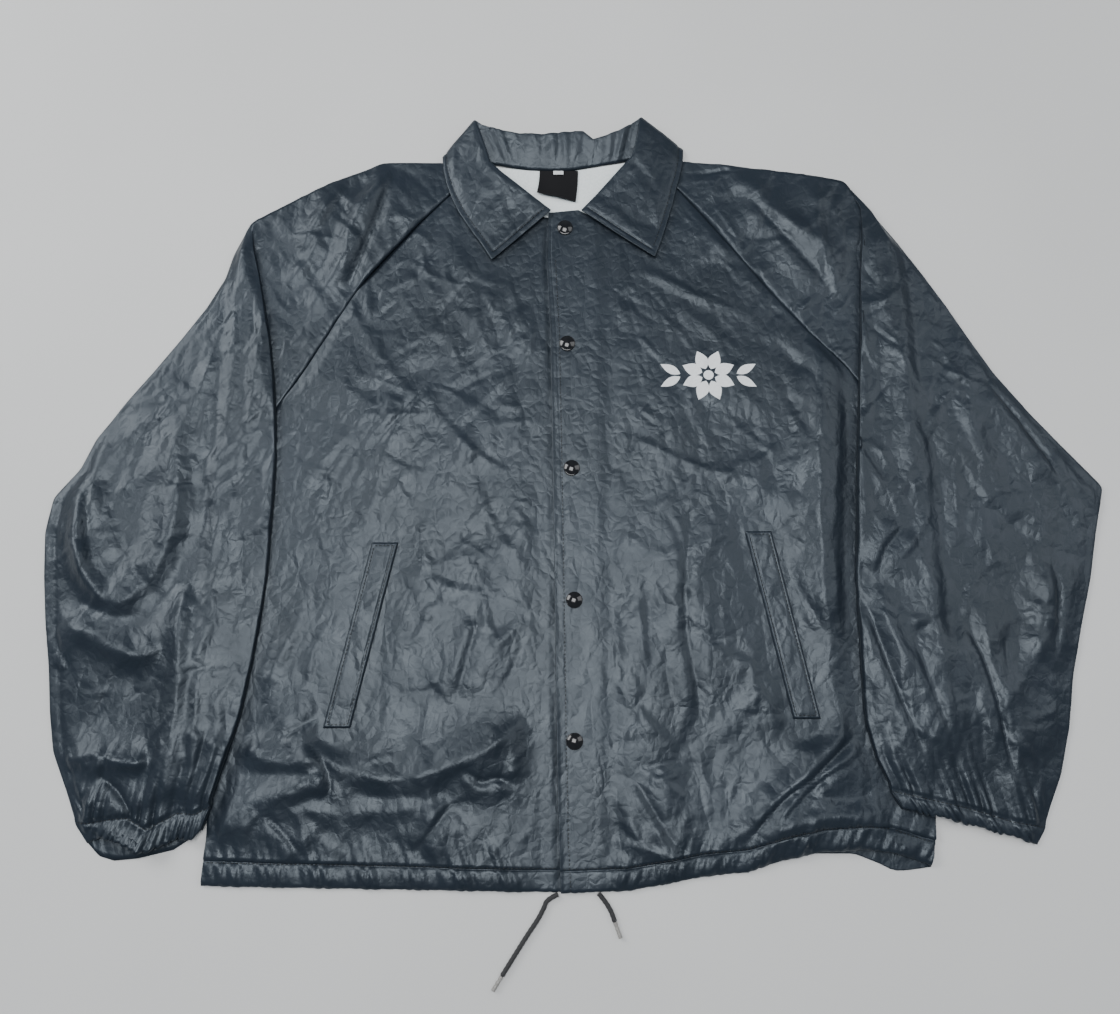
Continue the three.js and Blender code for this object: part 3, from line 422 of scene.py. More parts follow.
def from_line(corners, x, y):
    """Distance from a line, with its sign for the side, and the share of the way along it."""
    line = rounded_line(corners)
    steps = np.linalg.norm(np.diff(line, axis=0), axis=1)
    starts = np.concatenate([[0], np.cumsum(steps)])
    best = np.full(x.shape, 9.0)
    side = np.ones(x.shape)
    run = np.zeros(x.shape)
    for (x1, y1), (x2, y2), step, start in zip(line[:-1], line[1:], steps, starts):
        dx, dy = x2 - x1, y2 - y1
        share = np.clip(((x - x1) * dx + (y - y1) * dy) / (step * step), 0, 1)
        distance = np.hypot(x - x1 - share * dx, y - y1 - share * dy)
        nearer = distance < best
        best = np.where(nearer, distance, best)
        side = np.where(nearer, np.sign((x - x1) * dy - (y - y1) * dx), side)
        run = np.where(nearer, start + share * step, run)
    return best * side, run, starts[-1]


def line_height(name, x, y):
    total = np.zeros_like(x)
    crest = np.zeros_like(x)
    for piece, kind, width, tall, corners in FOLD_LINES:
        if piece != name:
            continue
        away, run, length = from_line(corners, x, y)
        ends = between(0, 0.25 * length, run) * between(0, 0.25 * length, length - run)
        if kind == "valley":
            share = np.abs(away) / np.where(away > 0, width, width * 1.6)
            lip = np.where(away > 0, 1.0, 0.7)
            total += tall * ends * lip * share * np.exp(1 - share)
        else:
            share = np.abs(away) / np.where(away > 0, width, width * 1.8)
            crest = np.maximum(crest, tall * (0.15 + 0.85 * ends) * np.exp(-share ** 1.35))
    return total + crest


# %% [markdown]
# The outlines of the fronts follow the side seam, the raglan seam, the neckline, the front edge and the
# hem. The sleeves are cross sections from the neck to the cuff, as in the solids: a raglan sleeve makes
# a pleat below the shoulder point, because the arm has been folded down at the side of the body.

# %% Outlines and sections
BODY_SIDE = {
    "right": [(-0.324, -0.360), (-0.322, -0.325), (-0.323, -0.280), (-0.321, -0.185), (-0.319, -0.055),
              (-0.318, -0.015), (-0.3057, 0.036)],
    "left": [(0.306, -0.343), (0.311, -0.322), (0.313, -0.300), (0.311, -0.206), (0.308, -0.088),
             (0.304, 0.002), (0.2907, 0.056)],
}
FRONT_EDGE = {
    "right": [(0.012, -0.365), (0.012, -0.100), (0.012, 0.100), (0.002, 0.2585)],
    "left": [(-0.014, -0.366), (-0.016, -0.326), (-0.018, -0.230), (-0.020, -0.090), (-0.022, 0.040),
             (-0.024, 0.140), (-0.028, 0.220), (-0.026, 0.266)],
}
NECK = {
    "right": [(-0.1007, 0.306), (-0.034, 0.261), (0.002, 0.2585)],
    "left": [(0.0727, 0.314), (0.016, 0.262), (0.003, 0.269), (-0.026, 0.266)],
}
HEM = {
    "right": [(-0.324, -0.360), (-0.281, -0.361), (-0.152, -0.363), (-0.046, -0.365), (0.012, -0.365)],
    "left": [(0.306, -0.343), (0.290, -0.338), (0.272, -0.332), (0.249, -0.330), (0.211, -0.332),
             (0.178, -0.339), (0.146, -0.349), (0.111, -0.352), (0.079, -0.358), (0.044, -0.364),
             (-0.014, -0.366)],
}
BACK_HEM = [(-0.323, -0.359), (-0.150, -0.362), (-0.014, -0.364), (0.060, -0.360), (0.130, -0.348),
            (0.200, -0.334), (0.240, -0.334), (0.261, -0.342), (0.273, -0.348), (0.284, -0.348),
            (0.306, -0.345)]
BACK_NECK = [(-0.084, 0.318), (-0.061, 0.315), (-0.035, 0.313), (0.004, 0.314), (0.029, 0.318),
             (0.056, 0.322)]
BACK_SIDE = {
    "right": [(-0.323, -0.359), (-0.322, -0.270), (-0.319, -0.060), (-0.316, -0.005), (-0.298, 0.036),
              (-0.271, 0.079), (-0.2305, 0.140), (-0.198, 0.187), (-0.142, 0.257), (-0.117, 0.283),
              (-0.084, 0.318)],
    "left": [(0.306, -0.345), (0.312, -0.270), (0.305, -0.060), (0.302, -0.005), (0.283, 0.056),
             (0.252, 0.107), (0.216, 0.156), (0.190, 0.189), (0.131, 0.260), (0.094, 0.291),
             (0.056, 0.322)],
}
# Each section: seam, tuck, fold, outer. None where the section doesn't have that point.
SLEEVE = {
    "right": [
        ((-0.101, 0.306), None, None, (-0.106, 0.320)),
        ((-0.126, 0.283), None, None, (-0.150, 0.319)),
        ((-0.151, 0.257), None, None, (-0.188, 0.319)),
        ((-0.184, 0.218), None, None, (-0.238, 0.299)),
        ((-0.210, 0.187), None, None, (-0.284, 0.274)),
        ((-0.229, 0.155), None, None, (-0.316, 0.256)),
        ((-0.237, 0.140), (-0.318, 0.226), (-0.312, 0.228), (-0.331, 0.222)),
        ((-0.246, 0.125), (-0.319, 0.200), (-0.305, 0.200), (-0.337, 0.198)),
        ((-0.255, 0.109), (-0.319, 0.168), (-0.298, 0.168), (-0.353, 0.168)),
        ((-0.265, 0.093), (-0.319, 0.135), (-0.291, 0.135), (-0.376, 0.135)),
        ((-0.275, 0.079), (-0.319, 0.102), (-0.286, 0.102), (-0.400, 0.102)),
        ((-0.290, 0.055), (-0.320, 0.068), (-0.282, 0.068), (-0.426, 0.068)),
        ((-0.306, 0.036), (-0.320, 0.038), (-0.280, 0.038), (-0.448, 0.037)),
        (None, (-0.314, 0.010), (-0.279, 0.010), (-0.460, 0.008)),
        (None, (-0.304, -0.018), (-0.279, -0.014), (-0.482, -0.019)),
        (None, (-0.298, -0.050), (-0.280, -0.050), (-0.487, -0.052)),
        (None, (-0.296, -0.090), (-0.281, -0.090), (-0.484, -0.092)),
        (None, (-0.298, -0.130), (-0.285, -0.130), (-0.479, -0.132)),
        (None, (-0.302, -0.170), (-0.290, -0.170), (-0.472, -0.172)),
        (None, (-0.309, -0.215), (-0.297, -0.215), (-0.467, -0.214)),
        (None, (-0.318, -0.250), (-0.307, -0.250), (-0.461, -0.248)),
    ],
    "left": [
        ((0.073, 0.314), None, None, (0.080, 0.325)),
        ((0.102, 0.291), None, None, (0.117, 0.320)),
        ((0.128, 0.260), None, None, (0.158, 0.315)),
        ((0.159, 0.221), None, None, (0.199, 0.311)),
        ((0.184, 0.189), None, None, (0.236, 0.305)),
        ((0.203, 0.166), None, None, (0.264, 0.300)),
        ((0.212, 0.156), (0.285, 0.267), (0.279, 0.271), (0.290, 0.266)),
        ((0.222, 0.144), (0.298, 0.238), (0.278, 0.238), (0.311, 0.237)),
        ((0.234, 0.132), (0.303, 0.204), (0.275, 0.204), (0.334, 0.203)),
        ((0.246, 0.120), (0.306, 0.170), (0.273, 0.170), (0.355, 0.170)),
        ((0.258, 0.107), (0.307, 0.136), (0.271, 0.136), (0.375, 0.135)),
        ((0.272, 0.088), (0.307, 0.102), (0.268, 0.102), (0.395, 0.102)),
        ((0.291, 0.056), (0.306, 0.062), (0.265, 0.062), (0.426, 0.062)),
        (None, (0.300, 0.026), (0.262, 0.026), (0.457, 0.026)),
        (None, (0.290, -0.010), (0.259, -0.010), (0.487, -0.009)),
        (None, (0.279, -0.048), (0.257, -0.048), (0.477, -0.049)),
        (None, (0.271, -0.090), (0.254, -0.090), (0.468, -0.092)),
        (None, (0.268, -0.135), (0.254, -0.135), (0.455, -0.137)),
        (None, (0.267, -0.180), (0.254, -0.180), (0.443, -0.182)),
        (None, (0.269, -0.222), (0.255, -0.222), (0.435, -0.228)),
        (None, (0.277, -0.256), (0.263, -0.254), (0.424, -0.268)),
    ],
}
# The cuff's rows, from the fold to the outer seam.
CUFF_STITCHING = {
    "right": [(-0.318, -0.294), (-0.331, -0.301), (-0.347, -0.300), (-0.373, -0.314), (-0.391, -0.304),
              (-0.410, -0.306), (-0.425, -0.309), (-0.437, -0.308)],
    "left": [(0.273, -0.281), (0.300, -0.287), (0.340, -0.296), (0.380, -0.308), (0.407, -0.312)],
}
CUFF_EDGE = {
    "right": [(-0.325, -0.314), (-0.333, -0.323), (-0.345, -0.320), (-0.356, -0.327), (-0.374, -0.333),
              (-0.389, -0.328), (-0.402, -0.321), (-0.414, -0.321), (-0.424, -0.325)],
    "left": [(0.282, -0.296), (0.305, -0.301), (0.337, -0.309), (0.368, -0.317), (0.398, -0.326)],
}
BACK_CUFF_STITCHING = {
    "right": [(-0.334, -0.303), (-0.360, -0.316), (-0.400, -0.321), (-0.437, -0.308)],
    "left": [(0.292, -0.283), (0.330, -0.292), (0.370, -0.304), (0.407, -0.312)],
}
BACK_CUFF_EDGE = {
    "right": [(-0.335, -0.321), (-0.350, -0.331), (-0.380, -0.338), (-0.401, -0.340), (-0.414, -0.336),
              (-0.424, -0.326)],
    "left": [(0.297, -0.298), (0.330, -0.305), (0.368, -0.315), (0.398, -0.326)],
}
WELTS = {"right": ((-0.175, -0.061), (-0.2125, -0.2275)), "left": ((0.167, -0.0505), (0.204, -0.2195))}
SNAPS = [(-0.010, 0.250), (-0.008, 0.131), (-0.004, 0.009), (-0.002, -0.114), (-0.002, -0.239)]
PLACKET_STITCH = 0.0085
HEM_STITCH = 0.0190
WELT_STITCH = 0.0030


# %% [markdown]
# Where other cloth lies on a panel, the panel is held flat. This share is 0 under the sleeves, the collar,
# the other front and the welts, and 1 where the panel lies free.

# %% Free places of the fronts
def inner_fold_x(side, y):
    folds = [section[2] for section in SLEEVE[side] if section[2]]
    folds.append((CUFF_EDGE[side][0][0], CUFF_EDGE[side][0][1]))
    line = np.array(sorted(folds, key=lambda point: point[1]))
    return np.interp(y, line[:, 1], line[:, 0])


def distance_to_line(start, end, x, y):
    dx, dy = end[0] - start[0], end[1] - start[1]
    share = np.clip(((x - start[0]) * dx + (y - start[1]) * dy) / (dx * dx + dy * dy), 0, 1)
    return np.hypot(x - start[0] - share * dx, y - start[1] - share * dy)


def free_share(side, x, y):
    right = side == "right"
    inward = (x - inner_fold_x(side, y)) if right else (inner_fold_x(side, y) - x)
    end = -0.316 if right else -0.306
    under_sleeve = np.maximum(between(0.006, 0.022, inward), between(0, 0.026, end - y))
    under_sleeve = np.where(y > 0.30, 1, under_sleeve)
    placket = between(0.028, 0.055, -x) if right else between(0.022, 0.050, x)
    collar = between(0.105, 0.150, np.hypot(x + 0.010, y - 0.300))
    return under_sleeve * placket * collar


def irregular_wave(run, spacing, seed):
    """A wave of uneven gathers, from 0 to 1, about one for each spacing."""
    phase = run / spacing * 2 * math.pi + seed
    phase = phase + 1.7 * np.sin(run / spacing * 0.83 + seed) + 0.8 * np.sin(run / spacing * 2.1 + 2 * seed)
    size = 0.65 + 0.35 * np.sin(run / spacing * 1.37 + 3 * seed)
    return np.abs(np.sin(phase / 2)) ** 0.8 * size


# %% [markdown]
# A front is a patch between four lines. The hem is turned up and stitched 19 mm from its edge, so its
# rows lie close together there, with a groove along the stitches and the gathers of the drawstring.

# %% Fronts
GRID = 0.0025
LOWEST_FRONT = 0.0014


def patch(bottom, top, left, right, us, vs):
    """Points between four lines, for shares us from left to right and vs from bottom to top."""
    def at(line, shares):
        corners = np.asarray(line, float)
        steps = np.hypot(*np.diff(corners, axis=0).T)
        run = np.concatenate([[0], np.cumsum(steps)]) / steps.sum()
        return np.stack([np.interp(shares, run, corners[:, k]) for k in (0, 1)], axis=1)

    u = us[None, :, None]
    v = vs[:, None, None]
    low_line, high_line = at(bottom, us)[None], at(top, us)[None]
    start_line, end_line = at(left, vs)[:, None], at(right, vs)[:, None]
    corners = ((1 - u) * (1 - v) * low_line[:, :1] + u * (1 - v) * low_line[:, -1:]
               + (1 - u) * v * high_line[:, :1] + u * v * high_line[:, -1:])
    return (1 - v) * low_line + v * high_line + (1 - u) * start_line + u * end_line - corners


def front_height(side, x, y, run_up, hem_run):
    """Height of a front. run_up is the distance from the hem's edge, hem_run the place along the hem."""
    right = side == "right"
    free = free_share(side, x, y)
    overlap = 0 if right else STEP * (1 - between(0.018, 0.034, x))
    rumple = 0.74 * crumple(x, y, 31 if right else 32, 1.35 if right else 1.75, 0.75)
    welt_start, welt_end = WELTS[side]
    welt = between(0.014, 0.040, distance_to_line(welt_start, welt_end, x, y))
    folds = 0.35 * fold_height("front_" + side, x, y) + line_height("front_" + side, x, y)
    folds = folds * between(0.013, 0.030, distance_to_line(*WELTS[side], x, y))
    near_hem = 1 - between(0.0, 0.045, run_up)
    loose = free * (0.25 + 0.75 * welt) * (1 - 0.6 * near_hem)
    held = 0.12 * (1 - free)
    height = (0.0016 + rumple) * (loose + held) + folds * free
    casing = np.sin(np.clip(run_up / CASING, 0, 1) * math.pi)
    above = np.exp(-np.clip(run_up - CASING, 0, None) / 0.016) * (run_up > CASING)
    gather_edge = between(0.030, 0.050, -x) if right else between(0.020, 0.036, x)
    leaning_run = hem_run + 0.35 * run_up
    gathers = irregular_wave(leaning_run, 0.0088, 1.3 if right else 2.6)
    small = irregular_wave(leaning_run, 0.0212, 4.1)
    in_casing = run_up <= CASING
    height = height + (0.0034 * gathers + 0.0012 * small) * (0.30 + 0.9 * casing) * in_casing * gather_edge
    height = height + (0.0030 * gathers + 0.0022 * small) * above * gather_edge
    seam = irregular_wave(run_up, 0.0125, 0.9) * np.exp(-hem_run / 0.008) * (run_up > 0.35)
    height = height + 0.0009 * seam
    near_raglan = between(0.015, 0.045, y) * (1 - between(0.001, 0.016, hem_run))
    height = height * (1 - near_raglan)
    return layer(1) + overlap + np.maximum(height, -0.0006)


def front_grid(side):
    right = side == "right"
    width, length = 0.336, 0.700
    fine = np.array([0, 0.0006, 0.0016, 0.0028])
    edge_columns = np.array([0.0110, 0.0094, PLACKET_STITCH, 0.0076, 0.0062, 0.0040, 0.0020, 0.0008, 0])
    across = np.concatenate([fine, np.arange(0.0055, width - 0.012, GRID), width - edge_columns])
    us = across / width
    hem_rows = [0, 0.0006, 0.0015, 0.003, 0.006, 0.009, 0.012, 0.015, 0.0172, 0.0182, HEM_STITCH, 0.0198,
                0.0210, 0.0235]
    neck_rows = length - np.array([0.0022, 0.0008, 0])
    up = np.concatenate([hem_rows, np.arange(0.0262, length - 0.004, GRID), neck_rows])
    vs = up / length
    side_line = BODY_SIDE[side] + [section[0] for section in SLEEVE[side][::-1] if section[0]][1:]
    gap = 0.0002 if right else -0.0002
    side_line = [(x + gap, y) for x, y in side_line]
    flat = patch(HEM[side], NECK[side], side_line, FRONT_EDGE[side], us, vs)
    x, y = flat[..., 0], flat[..., 1]
    run_up = np.broadcast_to(up[:, None], x.shape)
    hem_run = np.broadcast_to(across[None, :], x.shape)
    z = front_height(side, x, y, run_up, hem_run)
    edge_wave = irregular_wave(hem_run, 0.0088, 1.3 if right else 2.6) - 0.5
    y = y - 0.0009 * edge_wave * (1 - between(0, 0.012, run_up))
    groove = np.exp(-((run_up - HEM_STITCH) / 0.0008) ** 2) * 0.0009
    from_edge = np.broadcast_to((width - across)[None, :], x.shape)
    groove = np.maximum(groove, np.exp(-((from_edge - PLACKET_STITCH) / 0.0009) ** 2) * 0.0003)
    z = z - groove
    side_drop = (1 - between(0, 0.0028, hem_run)) * 0.0006
    open_by = 0.35 + 0.65 * irregular_wave(run_up, 0.115, 0.3)
    edge_drop = (1 - between(0, 0.0030, from_edge)) * (0.0005 if right else -0.0011 * open_by)
    left_edge = np.array(FRONT_EDGE["left"])
    beside = x - np.interp(y, left_edge[:, 1], left_edge[:, 0])
    dip = 0.0013 * open_by * between(-0.0052, -0.0012, beside) if right else 0
    hem_drop = (1 - between(0, 0.0022, run_up)) * 0.0007
    z = np.maximum(z - side_drop - edge_drop - hem_drop - dip, LOWEST_FRONT)
    return add_turn_up(np.stack([x, y, z], axis=-1))


def add_turn_up(points):
    """Adds the cloth that is turned up inside the hem, below the first row."""
    rows = []
    for back, drop in ((0.010, 0.0013), (0.004, 0.0013), (0.0005, 0.0010), (-0.0004, 0.0004)):
        row = points[0].copy()
        row[:, 1] += back
        row[:, 2] = np.maximum(row[:, 2] - drop, 0.00125)
        rows.append(row)
    return np.concatenate([np.array(rows), points])


front_pieces = {}
for side in ("right", "left"):
    front_pieces[side] = cloth_from_grid("cloth_front_" + side, front_grid(side))

# %% [markdown]
# The back lies flat on the floor under everything, and shows only at the lifted corner of the hem.

# %% Back
def back_grid():
    width, length = 0.630, 0.690
    across = np.linspace(0, width, 106)
    hem_rows = [0, 0.001, 0.003, 0.007, 0.012, 0.017, HEM_STITCH, 0.021, 0.024]
    up = np.concatenate([hem_rows, np.arange(0.030, length, 0.006), [length]])
    flat = patch(BACK_HEM, BACK_NECK, BACK_SIDE["right"], BACK_SIDE["left"], across / width, up / length)
    x, y = flat[..., 0], flat[..., 1]
    run_up = np.broadcast_to(up[:, None], x.shape)
    gathers = irregular_wave(np.broadcast_to(across[None, :], x.shape), 0.0155, 0.7)
    bulge = np.sin(np.clip(run_up / CASING, 0, 1) * math.pi)
    z = FIRST_LAYER + 0.0005 * gathers * bulge
    return np.stack([x, y, z], axis=-1)


back_piece = cloth_from_grid("cloth_back", back_grid())


# %% [markdown]
# A sleeve's front half runs from the raglan seam to a tuck, doubles back below to the fold at the edge of
# the arm, and goes over the top to the outer seam. Its cross sections are joined by rows 2.5 mm apart.

# %% Sleeve fronts
BACK_TOP = {"right": -0.327, "left": 0.318}
ARM_COLUMNS = 86
SHOULDER_COLUMNS = 44
UNDER_COLUMNS = 10


def sleeve_sections(side):
    """For each section: shoulder, under and arm lines as points, and the heights of the layers."""
    inward = 1 if side == "right" else -1
    out = []
    for seam, tuck, fold, outer in SLEEVE[side]:
        if not tuck:
            out.append((spread([seam, outer], SHOULDER_COLUMNS), spread([outer, outer], UNDER_COLUMNS),
                        spread([outer, outer], ARM_COLUMNS), layer(1), 0.0, outer[0]))
            continue
        start = seam or tuck
        cover = tuck[0] if seam else BACK_TOP[side]
        out.append((spread([start, tuck], SHOULDER_COLUMNS), spread([tuck, fold], UNDER_COLUMNS),
                    spread([fold, outer], ARM_COLUMNS), layer(1) if seam else layer(2), 1.0, cover))
    for line, rise in ((CUFF_STITCHING, 0.006), (CUFF_STITCHING, 0), (CUFF_EDGE, 0)):
        corners = [(x, y + rise) for x, y in line[side]]
        fold = corners[0]
        tuck = (fold[0] - inward * 0.007, fold[1] + 0.001)
        out.append((spread([tuck, tuck], SHOULDER_COLUMNS), spread([tuck, fold], UNDER_COLUMNS),
                    spread(corners, ARM_COLUMNS), layer(2), 1.0, BACK_TOP[side]))
    return out


def dense_rows(sections, spacing):
    """Row places between the sections, as section number and share, about a spacing apart."""
    places = []
    for i in range(len(sections) - 1):
        gap = np.hypot(*(sections[i + 1][2][-1] - sections[i][2][-1]))
        near = np.hypot(*(sections[i + 1][0][0] - sections[i][0][0]))
        steps = max(2, int(round(max(gap, near) / spacing)))
        places.extend(i + np.arange(steps) / steps)
    places.append(len(sections) - 1)
    return np.array(places)


def blend_sections(values, places):
    values = np.asarray(values, float)
    low_index = np.minimum(places.astype(int), len(values) - 2)
    share = places - low_index
    share = share.reshape((-1,) + (1,) * (values.ndim - 1))
    return values[low_index] * (1 - share) + values[low_index + 1] * share


def half_turn(x, y, z_low, z_high, bulge, count):
    """Rows of a half turn of cloth at x, y from one height to another."""
    angles = np.linspace(-math.pi / 2, math.pi / 2, count)[None, :]
    radius = ((z_high - z_low) / 2)[:, None]
    turn_x = x[:, None] - bulge * radius * (1 - np.cos(angles))
    turn_z = ((z_high + z_low) / 2)[:, None] + radius * np.sin(angles)
    return np.stack([turn_x, np.broadcast_to(y[:, None], turn_x.shape), turn_z], axis=-1)


def sleeve_front_grid(side):
    inward = 1 if side == "right" else -1
    sections = sleeve_sections(side)
    places = dense_rows(sections, GRID)
    shoulder, under, arm = (soften(blend_sections([s[k] for s in sections], places), 3, 0) for k in (0, 1, 2))
    level, pleat, cover = (blend_sections([s[k] for s in sections], places) for k in (3, 4, 5))
    last = len(sections) - 1

    x, y = arm[..., 0], arm[..., 1]
    share = np.broadcast_to(np.linspace(0, 1, ARM_COLUMNS)[None, :], x.shape)
    start = cover[:, None] - inward * 0.004
    reach = np.maximum(np.minimum(0.014, np.abs(x[:, -1:] - start) * 0.9), 1e-4)
    fall = between(0, 1, inward * (start - x) / reach)
    puff = 0.0024 * np.sin(math.pi * share)
    arm_width = np.abs(x[:, -1:] - x[:, :1])
    body = between(0, 0.05, arm_width)
    edge = 1 - between(0.90, 1.0, share)
    rumple = (0.85 * crumple(x, y, 41 if side == "right" else 42, 1.57 - 0.2 * inward, 0.7) + 0.0014) * body
    run = share * np.maximum(arm_width, 1e-4)
    stitching = np.array(sorted(CUFF_STITCHING[side])).T
    above_cuff = np.exp(-np.clip(y - np.interp(x, *stitching), 0, None) / 0.030)
    in_cuff = (places >= last - 1)[:, None]
    gathers = irregular_wave(run, 0.0120, 0.6 if side == "right" else 1.9)
    small = irregular_wave(run, 0.0066, 3.3)
    from_stitching = (last - 1 - places)[:, None]
    cuff_bulge = np.sin(np.clip(-from_stitching, 0, 1) * math.pi)
    mouth = 0.0065 * np.sin(np.clip((share - 0.30) / 0.62, 0, 1) * math.pi) * np.clip(-from_stitching, 0, 1)
    mouth = mouth if side == "right" else 0
    gather_height = (0.0062 * gathers + 0.0016 * small) * above_cuff
    gather_height = np.where(in_cuff, 0.0014 * gathers + 0.0032 * small + 0.0010 * cuff_bulge, gather_height)
    y = y - 0.0032 * (small - 0.5) * np.clip(-from_stitching, 0, 1) * between(0.01, 0.06, share) * edge
    pressed = 0.75 * np.exp(-(from_stitching * 15 / 1.6) ** 2) * (from_stitching < 0.4)
    gather_height = gather_height * (1 - pressed)
    calm = 1 - 0.7 * above_cuff
    from_outer = (1 - share) * arm_width
    overarm = 0.0011 * np.exp(-((from_outer - 0.009) / 0.0024) ** 2) * between(0, 0.04, -y)
    overarm = overarm if side == "right" else 0
    z = (layer(3) - (layer(3) - layer(1)) * fall + puff * body
         + (0.4 * fold_height("sleeve_" + side, x, y) + line_height("sleeve_" + side, x, y))
         * edge * between(0, 0.02, arm_width)
         + rumple * calm * (0.35 + 0.65 * edge) + gather_height * edge - overarm + mouth)
    floor_level = layer(3) - (layer(3) - layer(1)) * fall - 0.0004
    z = np.maximum(z, floor_level)
    z = level[:, None] + (z - level[:, None]) * pleat[:, None]

    sx, sy = shoulder[..., 0], shoulder[..., 1]
    s_share = np.broadcast_to(np.linspace(0, 1, SHOULDER_COLUMNS)[None, :], sx.shape)
    inner = between(0.004, 0.022, inward * (sx - inner_fold_x(side, np.minimum(sy, 0.225))))
    shown = np.maximum(inner, between(0.225, 0.240, sy))
    collar = between(0.100, 0.150, np.hypot(sx + 0.010, sy - 0.300))
    loose = shown * (0.15 + 0.85 * collar)
    s_height = (0.85 * crumple(sx, sy, 51, 1.57 + 0.5 * inward, 0.6, 0.5) + 0.0012) * (0.1 + 0.9 * loose)
    s_height = s_height * between(0, 0.06, s_share) + (
        0.7 * fold_height("shoulder_" + side, sx, sy) + line_height("shoulder_" + side, sx, sy)) * loose
    s_z = level[:, None] + np.maximum(s_height, -0.0005)
    seam_run = np.broadcast_to(places[:, None] * 0.030, sx.shape)
    from_seam = np.hypot(sx - sx[:, :1], sy - sy[:, :1])
    puckers = 0.0009 * irregular_wave(seam_run, 0.0125, 0.9) * np.exp(-from_seam / 0.008)
    s_z = s_z + puckers * between(0, 0.02, s_share)
    s_z = s_z - 0.0006 * (1 - between(0, 0.02, s_share))
    is_shoulder = between(0.0, 0.004, np.hypot(sx[:, :1] - sx[:, -1:], sy[:, :1] - sy[:, -1:]))
    s_z = level[:, None] + (s_z - level[:, None]) * is_shoulder

    under_z = level + (layer(2) - level) * pleat
    end_z = s_z[:, -1]
    turn_1 = half_turn(shoulder[:, -1, 0], shoulder[:, -1, 1], end_z, np.maximum(under_z, end_z), -inward, 5)
    under_heights = np.broadcast_to(under_z[:, None, None], under.shape[:2] + (1,))
    under_points = np.concatenate([under, under_heights], axis=-1)
    turn_2 = half_turn(arm[:, 0, 0], arm[:, 0, 1], under_z, np.maximum(z[:, 0], under_z), inward, 9)
    shoulder_points = np.stack([sx, sy, s_z], axis=-1)
    arm_points = np.stack([x, y, z], axis=-1)
    curl = []
    outward = arm[:, -1] - arm[:, -6]
    flat_rows = np.hypot(outward[:, 0], outward[:, 1]) < 1e-4
    outward[flat_rows] = (shoulder[:, -1] - shoulder[:, -6])[flat_rows]
    outward = outward / np.maximum(np.hypot(outward[:, 0], outward[:, 1]), 1e-6)[:, None]
    for out_by, down_to in ((0.0006, 0.85), (0.0009, 0.55), (0.0006, 0.25), (0.0, 0.1)):
        point = arm_points[:, -1].copy()
        point[:, :2] += outward * out_by
        point[:, 2] = 0.0007 + (point[:, 2] - 0.0007) * down_to
        curl.append(point)
    curl = np.stack(curl, axis=1)
    strips = [shoulder_points, turn_1[:, 1:-1], under_points, turn_2[:, 1:-1], arm_points, curl]
    points = np.concatenate(strips, axis=1)
    extra = []
    for back, drop in ((0.0000, 0.0009), (0.002, 0.0016), (0.009, 0.0016)):
        row = points[-1].copy()
        row[:, 1] += back
        row[:, 2] = np.maximum(row[:, 2] - drop, 0.0014)
        extra.append(row)
    return np.concatenate([points, np.array(extra)])


sleeve_pieces = {}
for side in ("right", "left"):
    sleeve_pieces[side] = cloth_from_grid("cloth_sleeve_front_" + side, sleeve_front_grid(side))

# %% [markdown]
# The back half of a sleeve lies on the floor under the front half. Below the armpit it climbs on to the
# side of the body, and it ends in the back of the cuff. One grid of points does it.

# %% Sleeve backs
def sleeve_back_grid(side):
    inward = 1 if side == "right" else -1
    columns = 46
    top_x = BACK_TOP[side]
    foot_x = top_x - inward * 0.011
    seam_line = np.array(BACK_SIDE[side])
    rows, climbs = [], []
    for seam, tuck, _, outer in SLEEVE[side]:
        if seam:
            line_x = np.interp(seam[1], seam_line[:, 1], seam_line[:, 0]) - inward * 0.0005
            rows.append(spread([(line_x, seam[1]), outer], columns))
            climbs.append(0.0)
        else:
            rows.append(spread([(tuck[0] - inward * 0.0009, tuck[1]), outer], columns))
            climbs.append(1.0)
    for line in (BACK_CUFF_STITCHING, BACK_CUFF_EDGE):
        rows.append(spread(line[side], columns))
        climbs.append(1.0)
    places = []
    for i in range(len(rows) - 1):
        gap = max(np.hypot(*(rows[i + 1][-1] - rows[i][-1])), 0.010)
        steps = max(2, round(gap / 0.006))
        places.extend(i + np.arange(steps) / steps)
    places.append(len(rows) - 1)
    places = np.array(places)
    flat = blend_sections(rows, places)
    climb = blend_sections(climbs, places)
    x, y = flat[..., 0], flat[..., 1]
    share = between(0, 1, (x - foot_x) / (top_x - foot_x))
    near_cuff = np.exp(-np.clip(len(rows) - 1 - places, 0, None) / 0.8)[:, None]
    gathers = irregular_wave(np.broadcast_to(np.linspace(0, 0.12, columns)[None, :], x.shape), 0.0105, 2.2)
    climbing = (layer(2) - FIRST_LAYER) * climb[:, None] * share
    z = FIRST_LAYER - 0.0002 + climbing + 0.0008 * gathers * near_cuff
    return np.stack([x, y, z], axis=-1)


sleeve_back_pieces = {}
for side in ("right", "left"):
    sleeve_back_pieces[side] = cloth_from_grid("cloth_sleeve_back_" + side, sleeve_back_grid(side))

# %% [markdown]
# The shirt collar stands up from the neck seam, rolls over and falls open to its points. Its sections
# are seam, roll and free edge, measured all the way round the neck. Two layers are sewn as one, so its
# wall is thicker than the rest, and the edge is topstitched, which presses a groove beside the edge.

